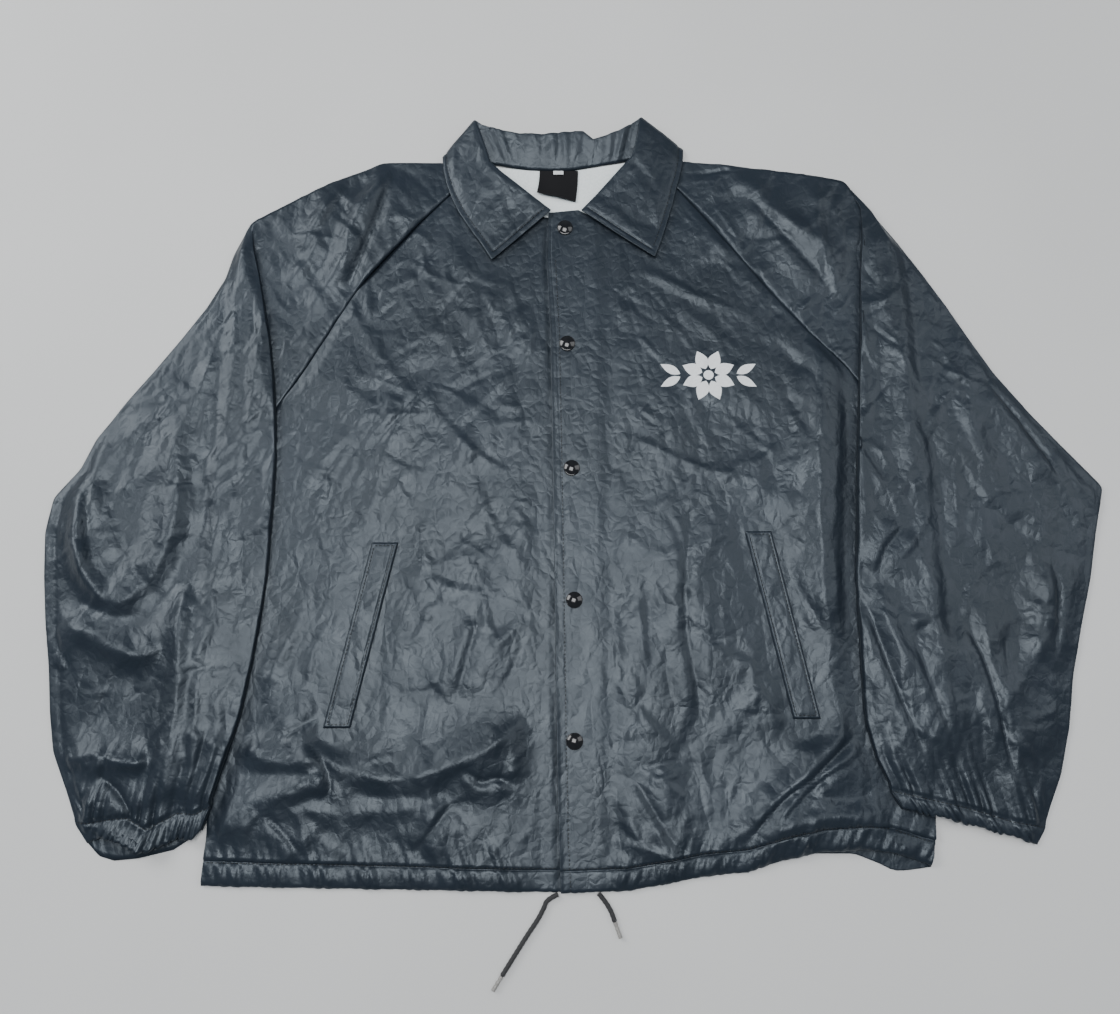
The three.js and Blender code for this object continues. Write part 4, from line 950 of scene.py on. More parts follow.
# %% Collar
COLLAR = [
    ((-0.036, 0.259, 0.0043), (-0.024, 0.267, 0.0080), (-0.081, 0.215, 0.0052)),
    ((-0.052, 0.271, 0.0043), (-0.041, 0.280, 0.0100), (-0.092, 0.233, 0.0048)),
    ((-0.069, 0.285, 0.0043), (-0.058, 0.294, 0.0110), (-0.104, 0.250, 0.0046)),
    ((-0.084, 0.297, 0.0043), (-0.073, 0.306, 0.0120), (-0.114, 0.266, 0.0046)),
    ((-0.092, 0.305, 0.0042), (-0.084, 0.316, 0.0130), (-0.121, 0.281, 0.0046)),
    ((-0.092, 0.311, 0.0039), (-0.089, 0.332, 0.0140), (-0.127, 0.298, 0.0046)),
    ((-0.087, 0.316, 0.0030), (-0.095, 0.349, 0.0140), (-0.130, 0.312, 0.0044)),
    ((-0.082, 0.318, 0.0026), (-0.099, 0.361, 0.0120), (-0.131, 0.326, 0.0026)),
    ((-0.076, 0.318, 0.0024), (-0.093, 0.357, 0.0110), (-0.104, 0.333, 0.0012)),
    ((-0.062, 0.315, 0.0024), (-0.078, 0.352, 0.0100), (-0.076, 0.328, 0.0012)),
    ((-0.046, 0.313, 0.0024), (-0.056, 0.348, 0.0090), (-0.052, 0.322, 0.0012)),
    ((-0.026, 0.312, 0.0024), (-0.031, 0.347, 0.0090), (-0.030, 0.320, 0.0012)),
    ((-0.006, 0.312, 0.0024), (-0.008, 0.349, 0.0090), (-0.008, 0.320, 0.0012)),
    ((0.006, 0.314, 0.0024), (0.008, 0.350, 0.0100), (0.008, 0.322, 0.0012)),
    ((0.016, 0.316, 0.0024), (0.018, 0.342, 0.0080), (0.018, 0.324, 0.0012)),
    ((0.028, 0.318, 0.0024), (0.031, 0.346, 0.0090), (0.030, 0.326, 0.0012)),
    ((0.040, 0.320, 0.0024), (0.049, 0.353, 0.0100), (0.050, 0.330, 0.0012)),
    ((0.050, 0.322, 0.0024), (0.061, 0.361, 0.0110), (0.076, 0.336, 0.0012)),
    ((0.056, 0.323, 0.0026), (0.065, 0.364, 0.0120), (0.107, 0.334, 0.0026)),
    ((0.062, 0.322, 0.0030), (0.063, 0.350, 0.0140), (0.106, 0.318, 0.0044)),
    ((0.066, 0.317, 0.0039), (0.060, 0.336, 0.0140), (0.103, 0.304, 0.0046)),
    ((0.067, 0.311, 0.0042), (0.056, 0.322, 0.0130), (0.099, 0.290, 0.0046)),
    ((0.058, 0.301, 0.0043), (0.046, 0.311, 0.0120), (0.095, 0.273, 0.0046)),
    ((0.044, 0.286, 0.0044), (0.033, 0.296, 0.0110), (0.090, 0.256, 0.0046)),
    ((0.030, 0.271, 0.0056), (0.020, 0.281, 0.0100), (0.084, 0.237, 0.0048)),
    ((0.017, 0.260, 0.0066), (0.006, 0.266, 0.0096), (0.077, 0.218, 0.0052)),
]
ROLL_RADIUS = 0.0013
COLLAR_STITCH = 0.0055
STAND_COLUMNS, TURN_COLUMNS, LEAF_COLUMNS = 10, 9, 28


def rounded_corner(start, point, end, radius, count):
    coming = (point - start) / np.linalg.norm(point - start)
    going = (end - point) / np.linalg.norm(end - point)
    half = math.acos(np.clip(np.dot(coming, going), -1, 1)) / 2
    out = coming - going
    out = out / np.linalg.norm(out)
    onward = coming + going
    onward = onward / max(np.linalg.norm(onward), 1e-9)
    angles = np.linspace(-half, half, count)[:, None]
    centre = point - out * radius
    return centre + out * radius * np.cos(angles) + onward * radius * np.sin(angles)


def collar_grid():
    table = np.array(COLLAR)
    gaps = np.linalg.norm(np.diff(table[:, 2], axis=0), axis=1)
    places = []
    for i, gap in enumerate(gaps):
        steps = max(4, round(gap / 0.0026))
        places.extend(i + np.arange(steps) / steps)
    places.append(len(table) - 1)
    for away in (0.0005, 0.0015, 0.0032, 0.0045, 0.0055, 0.0064, 0.0075, 0.0090):
        places.append(away / gaps[0])
        places.append(len(table) - 1 - away / gaps[-1])
    places = np.array(sorted(places))
    sections = blend_sections(table, places)
    leaf_shares = 1 - np.linspace(1, 0, LEAF_COLUMNS) ** 1.15
    rows, edge_runs = [], []
    for seam, roll, tip in sections:
        turn = rounded_corner(seam, roll, tip, ROLL_RADIUS, TURN_COLUMNS)
        stand = seam + (turn[0] - seam) * np.linspace(0, 1, STAND_COLUMNS)[:-1, None]
        leaf = turn[-1] + (tip - turn[-1]) * leaf_shares[1:, None]
        rows.append(np.concatenate([stand, turn, leaf]))
        edge_runs.append(np.linalg.norm(np.concatenate([stand, turn, leaf]) - tip, axis=1))
    points = np.array(rows)
    from_tip = np.array(edge_runs)
    x, y = points[..., 0], points[..., 1]
    first = STAND_COLUMNS - 1 + TURN_COLUMNS
    on_leaf = np.zeros(points.shape[1])
    on_leaf[first:] = 1
    end_run = np.linalg.norm(np.diff(table[:, 2], axis=0), axis=1)
    run = np.interp(places, range(len(table)), np.concatenate([[0], np.cumsum(end_run)]))
    from_end = np.minimum(run, run[-1] - run)[:, None]
    edge_distance = np.minimum(from_tip, from_end * 0.97)
    calm_edge = between(0.004, 0.016, edge_distance)
    rumple = crumple(x, y, 61, 1.0, 1.0, 0.25) * 0.46
    groove = 0.0009 * np.exp(-((edge_distance - COLLAR_STITCH) / 0.0011) ** 2)
    lift = (rumple + 0.0004) * calm_edge * on_leaf - groove * on_leaf
    tip_rise = 0.0030 * on_leaf * np.exp(-from_tip / 0.030) * np.exp(-from_end / 0.060)
    points[..., 2] += lift + tip_rise
    bump = irregular_wave(np.broadcast_to(run[:, None], x.shape), 0.017, 0.4)
    small_bump = irregular_wave(np.broadcast_to(run[:, None], x.shape), 0.0075, 2.2)
    behind = between(0.318, 0.334, y) * (1 - on_leaf) * between(0.150, 0.180, from_end)
    points[..., 2] += (0.0022 * bump + 0.0007 * small_bump) * behind
    print("collar's edge is", round(float(run[-1]), 3), "m long")
    return points


collar_piece = cloth_from_grid("cloth_collar", collar_grid(), 0.0010)


# %% [markdown]
# The welts are strips folded from shell cloth, sewn down around a slanted pocket opening. The opening's
# edge is the long side towards the front edge. A strip with rounded edges and a pressed border serves.

# %% Pocket welts
WELT_WIDTH = 0.024


def height_over(piece):
    tree = BVHTree.FromObject(piece, bpy.context.evaluated_depsgraph_get())
    down = Vector((0, 0, -1))

    def at(x, y, otherwise=0.0):
        hit = tree.ray_cast(Vector((x + SHIFT_X, y + SHIFT_Y, 0.2)), down)[0]
        return hit.z if hit else otherwise
    return at


surface = {side: height_over(front_pieces[side]) for side in ("right", "left")}


def welt_grid(side):
    top, bottom = np.array(WELTS[side][0]), np.array(WELTS[side][1])
    across = np.concatenate([[0, 0.0004, 0.0012], np.linspace(0.0022, WELT_WIDTH - 0.0022, 18),
                             [WELT_WIDTH - 0.0012, WELT_WIDTH - 0.0004, WELT_WIDTH]]) - WELT_WIDTH / 2
    length = np.linalg.norm(bottom - top)
    down = np.concatenate([[0, 0.0004, 0.0012], np.linspace(0.0024, length - 0.0024, 96),
                           [length - 0.0012, length - 0.0004, length]])
    middle = top + (bottom - top) * (down / length)[:, None]
    x = middle[:, :1] + across[None, :]
    y = np.broadcast_to(middle[:, 1:], x.shape)
    from_edge = np.minimum(WELT_WIDTH / 2 - np.abs(across)[None, :], np.minimum(down, length - down)[:, None])
    ground = np.array([[surface[side](px, py, layer(1)) for px, py in zip(*row)] for row in zip(x, y)])
    ground = soften(soften(ground, 6, 0), 6, 1)
    puff = 0.0020 * between(0, 0.0016, from_edge)
    groove = 0.0011 * np.exp(-((from_edge - WELT_STITCH) / 0.0007) ** 2)
    rumple = crumple(x, y, 71, 1.5, 0.9, 0.10) * 0.22 * between(0.002, 0.006, from_edge)
    z = ground + 0.0005 + puff - groove + rumple
    return np.stack([x, y, z], axis=-1)


welt_pieces = {side: cloth_from_grid("cloth_welt_" + side, welt_grid(side)) for side in ("right", "left")}

# %% [markdown]
# The lining shows only in the open neck: a smooth piece of white brushed knit, with soft dents.

# %% Lining
LINING = [
    [(-0.030, 0.2625), (0.009, 0.260)],
    [(-0.076, 0.300), (0.050, 0.308)],
    [(-0.080, 0.3165), (-0.062, 0.314), (-0.046, 0.3122), (-0.026, 0.3113), (-0.006, 0.3113),
     (0.006, 0.313), (0.028, 0.317), (0.053, 0.321)],
]
LINING_LEVEL = 0.0020


def lining_grid():
    rows = [spread(line, 70) for line in LINING]
    places = np.concatenate([np.arange(0, 1, 1 / 22), np.linspace(1, 2, 9)])
    flat = blend_sections(rows, places)
    x, y = flat[..., 0], flat[..., 1]
    z = LINING_LEVEL + np.maximum(facets(x, y) * 0.12, -0.0003)
    return np.stack([x, y, z], axis=-1)


lining_piece = cloth_from_grid("knit_lining", lining_grid(), 0.0008)

# %% [markdown]
# The neck label is a plain black woven tape with turned-in ends, sewn by its top edge, and a small bare
# size tab is sewn in above it. Both start as a plane, which is cut into small faces and then bent.

# %% Label and tab
def tag(name, width, depth, middle, top, level, rise, askew=0.0):
    bpy.ops.object.select_all(action="DESELECT")
    bpy.ops.mesh.primitive_plane_add(size=1, location=(middle + SHIFT_X, top - depth / 2 + SHIFT_Y, level))
    piece = bpy.context.object
    piece.name = name
    piece.scale = (width, depth, 1)
    bpy.ops.object.transform_apply(location=True, rotation=False, scale=True)
    bpy.ops.object.mode_set(mode="EDIT")
    bpy.ops.mesh.subdivide(number_cuts=18)
    bpy.ops.object.mode_set(mode="OBJECT")
    for corner in piece.data.vertices:
        down = (top + SHIFT_Y - corner.co.y) / depth
        side = (corner.co.x - SHIFT_X - middle) / width
        corner.co.z += rise * down * down + 0.0008 * rise / 0.0015 * math.sin(side * 7 + 1) * down
        corner.co.x += 0.0006 * math.sin(down * 3) * (1 if rise > 0.001 else 0)
        corner.co.y -= askew * down * (side + 0.15)
        corner.co.x -= 0.3 * askew * down
        corner.co.z += 0.3 * askew * down * down * (0.5 - side)
    wall = piece.modifiers.new("wall", "SOLIDIFY")
    wall.thickness = 0.0007
    wall.offset = 0
    rim = piece.modifiers.new("rim", "BEVEL")
    rim.width = 0.0002
    rim.segments = 2
    apply_modifiers(piece)
    bpy.ops.object.shade_smooth_by_angle(angle=math.radians(40))
    print(name, "measures", width, "by", depth)
    return piece


LABEL_LEVEL = 0.0033
label_piece = tag("woven_label", 0.038, 0.028, -0.0160, 0.3115, LABEL_LEVEL, 0.0015, 0.0090)
tab_piece = tag("size_tag", 0.010, 0.004, -0.0165, 0.3106, LABEL_LEVEL + 0.0014, 0.0002)

# %% [markdown]
# The snap caps are pressed metal domes with a rolled rim, under gloss black lacquer. The first is drawn
# up from a circle in edit mode, one step at a time, and the other four are copies of it.

# %% Snap caps
CAP_STEPS = [(0.0070, 0.0000), (0.00735, 0.0002), (0.0075, 0.0006), (0.0074, 0.0009), (0.0070, 0.0011),
             (0.0067, 0.0011), (0.0065, 0.0012), (0.0061, 0.0014), (0.0054, 0.00176), (0.0044, 0.00219),
             (0.0032, 0.00258), (0.0018, 0.00287), (0.0010, 0.00296), (0.0004, 0.0030)]


def snap_cap(name, x, y, level):
    bpy.ops.object.select_all(action="DESELECT")
    radius, height = CAP_STEPS[0]
    place = Vector((x + SHIFT_X, y + SHIFT_Y, level))
    bpy.ops.mesh.primitive_circle_add(vertices=48, radius=radius, fill_type="NGON", location=place)
    piece = bpy.context.object
    piece.name = name
    bpy.ops.object.transform_apply(location=True, rotation=False, scale=False)
    bpy.ops.object.mode_set(mode="EDIT")
    bpy.ops.mesh.select_all(action="SELECT")
    centre = place.copy()
    for next_radius, next_height in CAP_STEPS[1:]:
        rise = next_height - height
        grow = next_radius / radius
        bpy.ops.mesh.extrude_region_move(TRANSFORM_OT_translate={"value": (0, 0, rise)})
        centre.z += rise
        bpy.ops.transform.resize(value=(grow, grow, 1), center_override=centre)
        radius, height = next_radius, next_height
    bpy.ops.mesh.select_all(action="SELECT")
    bpy.ops.mesh.remove_doubles(threshold=0.00001)
    bpy.ops.mesh.normals_make_consistent(inside=False)
    bpy.ops.object.mode_set(mode="OBJECT")
    bpy.ops.object.shade_smooth_by_angle(angle=math.radians(50))
    return piece


SNAP_LEVEL = low[2]
first_cap = snap_cap("lacquered_snap_1", *SNAPS[0], SNAP_LEVEL)
cap_pieces = [first_cap]
for number, (x, y) in enumerate(SNAPS[1:], 2):
    copy = first_cap.copy()
    copy.data = first_cap.data.copy()
    copy.name = "lacquered_snap_" + str(number)
    for corner in copy.data.vertices:
        corner.co.x += x - SNAPS[0][0]
        corner.co.y += y - SNAPS[0][1]
    bpy.context.collection.objects.link(copy)
    cap_pieces.append(copy)
print("snap caps:", len(cap_pieces))

# %% [markdown]
# The drawstring is a braided cord whose two ends come out of the hem beside the front edge and lie on
# the floor. Each is a tube along the route of its solid, with the braid's two sets of strands in relief.
# The route runs on into the clear crimped tip at its end.

# %% Drawstring
CORD_DIAMETER = 0.0042
CORDS = {
    "right": [(-0.0166, -0.3673, 0.0029), (-0.022, -0.370, 0.0025), (-0.0265, -0.3735, 0.0023),
              (-0.029, -0.379, 0.0023), (-0.034, -0.388, 0.0023), (-0.042, -0.3995, 0.0023),
              (-0.049, -0.410, 0.0023), (-0.0565, -0.4215, 0.0023), (-0.064, -0.433, 0.0023),
              (-0.0715, -0.4447, 0.0023)],
    "left": [(0.0183, -0.3666, 0.0029), (0.0218, -0.3708, 0.0025), (0.026, -0.3765, 0.0023),
             (0.0295, -0.383, 0.0023), (0.032, -0.390, 0.0023), (0.0367, -0.4027, 0.0023)],
}
TIP_LENGTH = 0.0145
TIP_RADIUS = 0.0017


def smooth_route(points, spacing):
    """Points along one smooth curve through the given ones."""
    points = np.array(points) + np.array([SHIFT_X, SHIFT_Y, 0])
    ends = np.concatenate([[2 * points[0] - points[1]], points, [2 * points[-1] - points[-2]]])
    out = []
    for i in range(1, len(ends) - 2):
        steps = max(2, int(np.linalg.norm(ends[i + 1] - ends[i]) / spacing))
        for t in np.arange(steps) / steps:
            a, b, c, d = ends[i - 1:i + 3]
            out.append(0.5 * (2 * b + (c - a) * t + (2 * a - 5 * b + 4 * c - d) * t ** 2
                              + (3 * b - a - 3 * c + d) * t ** 3))
    out.append(points[-1])
    return np.array(out)


def braided_cord(name, route):
    sides = 24
    steps = np.linalg.norm(np.diff(route, axis=0), axis=1)
    run = np.concatenate([[0], np.cumsum(steps)])
    inside = between(run[-1] - TIP_LENGTH, run[-1] - TIP_LENGTH + 0.001, run)
    forward = np.gradient(route, axis=0)
    forward /= np.linalg.norm(forward, axis=1)[:, None]
    across = np.cross(forward, (0, 0, 1))
    across /= np.linalg.norm(across, axis=1)[:, None]
    upward = np.cross(across, forward)
    turn = np.linspace(0, 2 * math.pi, sides, endpoint=False)
    pitch = 2 * math.pi / 0.0085
    right_strands = np.cos(4 * turn[None, :] + pitch * 2 * run[:, None])
    left_strands = np.cos(4 * turn[None, :] - pitch * 2 * run[:, None])
    relief = np.maximum(right_strands, left_strands) * 0.00017
    radius = CORD_DIAMETER / 2 - 0.0001 - inside[:, None] * 0.0009 + relief * (1 - inside[:, None])
    points = (route[:, None, :] + across[:, None, :] * (np.cos(turn) * radius)[..., None]
              + upward[:, None, :] * (np.sin(turn) * radius)[..., None])
    points[..., 2] = np.maximum(points[..., 2], 0.0001)
    rings = len(route)
    index = np.arange(rings * sides).reshape(rings, sides)
    after = np.roll(index, -1, axis=1)
    quads = np.stack([index[:-1], after[:-1], after[1:], index[1:]], axis=-1).reshape(-1, 4).tolist()
    faces = quads + [index[0].tolist()[::-1], index[-1].tolist()]
    mesh = bpy.data.meshes.new(name)
    mesh.from_pydata(points.reshape(-1, 3).tolist(), [], faces)
    work = bmesh.new()
    work.from_mesh(mesh)
    bmesh.ops.recalc_face_normals(work, faces=work.faces)
    work.to_mesh(mesh)
    work.free()
    piece = bpy.data.objects.new(name, mesh)
    bpy.context.collection.objects.link(piece)
    select_only(piece)
    bpy.ops.object.shade_smooth()
    print(name, "is", round(float(run[-1]), 4), "m long")
    return piece, float(run[-1])


cord_pieces, cord_routes, cord_lengths = {}, {}, {}
for side, points in CORDS.items():
    cord_routes[side] = smooth_route(points, 0.0005)
    cord_pieces[side], cord_lengths[side] = braided_cord("braided_cord_" + side, cord_routes[side])

# %% [markdown]
# The tips are short tubes of clear film, crimped on the cord so that it doesn't fray. Each is a cylinder
# turned along the cord's last stretch, narrowed twice where the tool pinched it, with soft rims.

# %% Cord tips
def cord_tip(side):
    route = cord_routes[side]
    end = Vector(route[-1])
    start = Vector(route[np.argmin(np.abs(np.linalg.norm(route - route[-1], axis=1) - (TIP_LENGTH - 0.001)))])
    direction = (end - start).normalized()
    end = end + direction * 0.0004
    bpy.ops.object.select_all(action="DESELECT")
    bpy.ops.mesh.primitive_cylinder_add(vertices=24, radius=TIP_RADIUS, depth=(end - start).length,
                                        location=(start + end) / 2,
                                        rotation=direction.to_track_quat("Z", "Y").to_euler())
    piece = bpy.context.object
    piece.name = "clear_tip_" + side
    bpy.ops.object.transform_apply(location=True, rotation=True, scale=True)
    bpy.ops.object.mode_set(mode="EDIT")
    bpy.ops.mesh.select_all(action="DESELECT")
    bpy.ops.mesh.select_mode(type="EDGE")
    bpy.ops.object.mode_set(mode="OBJECT")
    for edge in piece.data.edges:
        a, b = (piece.data.vertices[i].co for i in edge.vertices)
        edge.select = abs((a - b).normalized().dot(direction)) > 0.9
    bpy.ops.object.mode_set(mode="EDIT")
    bpy.ops.mesh.subdivide(number_cuts=15)
    bpy.ops.object.mode_set(mode="OBJECT")
    rim = piece.modifiers.new("rim", "BEVEL")
    rim.width = 0.0003
    rim.segments = 2
    rim.limit_method = "ANGLE"
    apply_modifiers(piece)
    for corner in piece.data.vertices:
        along_tip = (corner.co - start).dot(direction) / (end - start).length
        axis_point = start + direction * (corner.co - start).dot(direction)
        first_pinch = 0.14 * math.exp(-((along_tip - 0.30) / 0.07) ** 2)
        second_pinch = 0.10 * math.exp(-((along_tip - 0.62) / 0.07) ** 2)
        corner.co = axis_point + (corner.co - axis_point) * (1 - (first_pinch + second_pinch))
    bpy.ops.object.shade_smooth_by_angle(angle=math.radians(40))
    return piece


tip_pieces = {side: cord_tip(side) for side in CORDS}

# %% [markdown]
# The jacket is stitched with black thread. One stitch is a small spindle, and a row of them is laid along
# each line of stitching, on the height of the cloth below, and joined into one piece.

# %% Stitches
STITCH = 0.0026
STITCH_GAP = 0.0010
THREAD = 0.00034


def add_stitches(store, line, height, start_lift=0.00012):
    corners = np.asarray(line, float)
    steps = np.hypot(*np.diff(corners[:, :2], axis=0).T)
    run = np.concatenate([[0], np.cumsum(steps)])
    count = int(run[-1] // (STITCH + STITCH_GAP))
    for number in range(count):
        begin = number * (STITCH + STITCH_GAP) + STITCH_GAP / 2
        ends = []
        for place in (begin, begin + STITCH):
            x = np.interp(place, run, corners[:, 0])
            y = np.interp(place, run, corners[:, 1])
            ends.append(Vector((x, y, height(x, y))))
        if min(end.z for end in ends) <= 0.0001 or abs(ends[0].z - ends[1].z) > 0.0016:
            continue
        a, b = (end + Vector((SHIFT_X, SHIFT_Y, start_lift)) for end in ends)
        add_spindle(store, a, b)


def add_spindle(store, a, b):
    points, faces = store
    forward = (b - a).normalized()
    across = forward.cross(Vector((0, 0, 1))).normalized()
    upward = across.cross(forward)
    first = len(points)
    points.append(a)
    for share in (0.22, 0.78):
        centre = a.lerp(b, share) + upward * 0.00008
        for step in range(6):
            turn = step * math.pi / 3
            points.append(centre + (across * math.cos(turn) + upward * math.sin(turn)) * THREAD)
    points.append(b)
    last = first + 13
    for step in range(6):
        after = (step + 1) % 6
        faces.append((first, first + 1 + after, first + 1 + step))
        faces.append((first + 1 + step, first + 1 + after, first + 7 + after, first + 7 + step))
        faces.append((first + 7 + step, first + 7 + after, last))


def stitched(name, store):
    points, faces = store
    mesh = bpy.data.meshes.new(name)
    mesh.from_pydata([tuple(point) for point in points], [], faces)
    work = bmesh.new()
    work.from_mesh(mesh)
    bmesh.ops.recalc_face_normals(work, faces=work.faces)
    work.to_mesh(mesh)
    work.free()
    piece = bpy.data.objects.new(name, mesh)
    bpy.context.collection.objects.link(piece)
    select_only(piece)
    bpy.ops.object.shade_smooth()
    print(name, "has", len(faces) // 18, "stitches")
    return piece


def welt_border(side):
    (x1, y1), (x2, y2) = WELTS[side]
    inset, end = WELT_WIDTH / 2 - WELT_STITCH, WELT_STITCH
    down = math.hypot(x2 - x1, y2 - y1)
    ux, uy = (x2 - x1) / down, (y2 - y1) / down
    top, bottom = (x1 + ux * end, y1 + uy * end), (x2 - ux * end, y2 - uy * end)
    return [(top[0] - inset, top[1]), (top[0] + inset, top[1]), (bottom[0] + inset, bottom[1]),
            (bottom[0] - inset, bottom[1]), (top[0] - inset, top[1])]


body_store = ([], [])
for side in ("right", "left"):
    hem_line = [(x, y + HEM_STITCH) for x, y in HEM[side]]
    if side == "right":
        hem_line = [point for point in hem_line if point[0] < -0.03] + [(-0.018, -0.346)]
    add_stitches(body_store, hem_line, surface[side])
placket = [(x + PLACKET_STITCH, y) for x, y in FRONT_EDGE["left"]][:-1]
add_stitches(body_store, placket, surface["left"])
for side in ("right", "left"):
    add_stitches(body_store, welt_border(side), height_over(welt_pieces[side]))
body_stitches = stitched("thread_body", body_store)

cuff_store = ([], [])
for side in ("right", "left"):
    add_stitches(cuff_store, CUFF_STITCHING[side], height_over(sleeve_pieces[side]))
cuff_stitches = stitched("thread_cuffs", cuff_store)


def collar_stitch_line():
    table = np.array(COLLAR)
    inner = []
    for _, roll, tip in table:
        back = (roll - tip) / np.linalg.norm(roll - tip)
        inner.append(tip + back * COLLAR_STITCH)
    inner = np.array(inner)
    ends = []
    for first, second in ((0, 1), (-1, -2)):
        tip_step = table[second][2] - table[first][2]
        roll_step = table[second][1] - table[first][1]
        share = COLLAR_STITCH / np.linalg.norm(tip_step)
        ends.append(np.array([inner[first] + tip_step * share, table[first][1] + roll_step * share]))
    inner[0], inner[-1] = ends[0][0], ends[1][0]
    return inner[:, :2], [end[:, :2] for end in ends]


collar_height = height_over(collar_piece)
collar_store = ([], [])
stitch_line, end_lines = collar_stitch_line()
for part in (stitch_line[:8], stitch_line[18:], *end_lines):
    add_stitches(collar_store, part, collar_height)
collar_stitches = stitched("thread_collar", collar_store)

# %% [markdown]
# The chest has a plain white print of the size and place of the real one: a flower with eight petals
# and two pairs of leaves. It is a thin film that follows the cloth, cut from filled outlines.

# %% Chest print
PRINT_MIDDLE = (0.1255, 0.0995)


def petal(angle, near, far, half_width, centre=(0, 0)):
    """An outline of a petal, pointed at both ends, at a distance from its centre."""
    count = 18
    shares = np.linspace(0, 1, count)
    lengths = near + (far - near) * shares
    widths = half_width * np.sin(math.pi * shares ** 0.85)
    sides = [(length, width) for length, width in zip(lengths, widths)]
    sides += [(length, -width) for length, width in zip(lengths[-2:0:-1], widths[-2:0:-1])]
    turned = []
    for length, width in sides:
        turned.append((centre[0] + length * math.cos(angle) - width * math.sin(angle),
                       centre[1] + length * math.sin(angle) + width * math.cos(angle)))
    return turned


print_shapes = [[(0.0048 * math.cos(a), 0.0048 * math.sin(a)) for a in np.linspace(0, 2 * math.pi, 24)[:-1]]]
for number in range(8):
    print_shapes.append(petal(math.radians(22.5 + 45 * number), 0.0064, 0.0262, 0.0060))
for turn in (28, -28, 152, 208):
    centre = (0.0240 if abs(turn) < 90 else -0.0240, 0.0)
    print_shapes.append(petal(math.radians(turn), 0.0030, 0.0240, 0.0042, centre))


def print_film(name, shapes, middle, height):
    points, faces = [], []
    for shape in shapes:
        outline = [Vector(corner) for corner in shape]
        xs = [corner[0] for corner in shape]
        ys = [corner[1] for corner in shape]
        inner = [Vector((x, y)) for x in np.arange(min(xs), max(xs), 0.0012)
                 for y in np.arange(min(ys), max(ys), 0.0012)]
        corners, _, triangles, _, _, _ = geometry.delaunay_2d_cdt(
            outline + inner, [], [list(range(len(outline)))], 1, 1e-6)
        first = len(points)
        for corner in corners:
            x, y = corner.x + middle[0], corner.y + middle[1]
            points.append((x + SHIFT_X, y + SHIFT_Y, height(x, y) + 0.00022))
        faces.extend([tuple(first + i for i in triangle) for triangle in triangles])
    mesh = bpy.data.meshes.new(name)
    mesh.from_pydata(points, [], faces)
    piece = bpy.data.objects.new(name, mesh)
    bpy.context.collection.objects.link(piece)
    wall = piece.modifiers.new("wall", "SOLIDIFY")
    wall.thickness = 0.00018
    wall.offset = 0
    apply_modifiers(piece)
    bpy.ops.object.shade_smooth_by_angle(angle=math.radians(60))
    print(name, len(piece.data.polygons), "faces")
    return piece


print_piece = print_film("chest_flower", print_shapes, PRINT_MIDDLE, surface["left"])

# %% [markdown]
# Materials are mixed from a few nodes. Nylon taffeta is a plain weave of shiny thread: nearly black with
# a blue cast, half gloss, with fine creases that the sheets' shapes are too coarse for.

# %% Material helpers
def new_material(name):
    material = bpy.data.materials.new(name)
    material.use_nodes = True
    nodes, links = material.node_tree.nodes, material.node_tree.links
    shader = nodes["Principled BSDF"]
    place = nodes.new("ShaderNodeTexCoord")
    return material, nodes, links, shader, place.outputs["Object"]


def noise(nodes, links, place, scale, detail=4.0, rough=0.5, kind="FBM"):
    node = nodes.new("ShaderNodeTexNoise")
    node.noise_type = kind
    node.inputs["Scale"].default_value = scale
    node.inputs["Detail"].default_value = detail
    node.inputs["Roughness"].default_value = rough
    links.new(place, node.inputs["Vector"])
    return node.outputs["Factor"] if "Factor" in node.outputs else node.outputs["Fac"]


def colour_between(nodes, links, factor, dark, pale, low_end=0.3, high_end=0.7):
    ramp = nodes.new("ShaderNodeValToRGB")
    ramp.color_ramp.elements[0].position = low_end
    ramp.color_ramp.elements[0].color = (*dark, 1)
    ramp.color_ramp.elements[1].position = high_end
    ramp.color_ramp.elements[1].color = (*pale, 1)
    links.new(factor, ramp.inputs["Fac"])
    return ramp.outputs["Color"]


def value_between(nodes, links, factor, lowest, highest):
    node = nodes.new("ShaderNodeMapRange")
    node.inputs["From Min"].default_value = 0.3
    node.inputs["From Max"].default_value = 0.7
    node.inputs["To Min"].default_value = lowest
    node.inputs["To Max"].default_value = highest
    links.new(factor, node.inputs["Value"])
    return node.outputs["Result"]


def bump(nodes, links, height, strength, distance, before=None):
    node = nodes.new("ShaderNodeBump")
    node.inputs["Strength"].default_value = strength
    node.inputs["Distance"].default_value = distance
    links.new(height, node.inputs["Height"])
    if before:
        links.new(before, node.inputs["Normal"])
    return node.outputs["Normal"]


def threads(nodes, links, place, scale):
    """Two sets of parallel threads that cross, as a height."""
    sets = []
    for direction in ("X", "Y"):
        wave = nodes.new("ShaderNodeTexWave")
        wave.wave_type = "BANDS"
        wave.bands_direction = direction
        wave.inputs["Scale"].default_value = scale
        wave.inputs["Distortion"].default_value = 0.4
        links.new(place, wave.inputs["Vector"])
        sets.append(wave.outputs["Fac"])
    cross = nodes.new("ShaderNodeMath")
    cross.operation = "MULTIPLY"
    links.new(sets[0], cross.inputs[0])
    links.new(sets[1], cross.inputs[1])
    return cross.outputs["Value"]


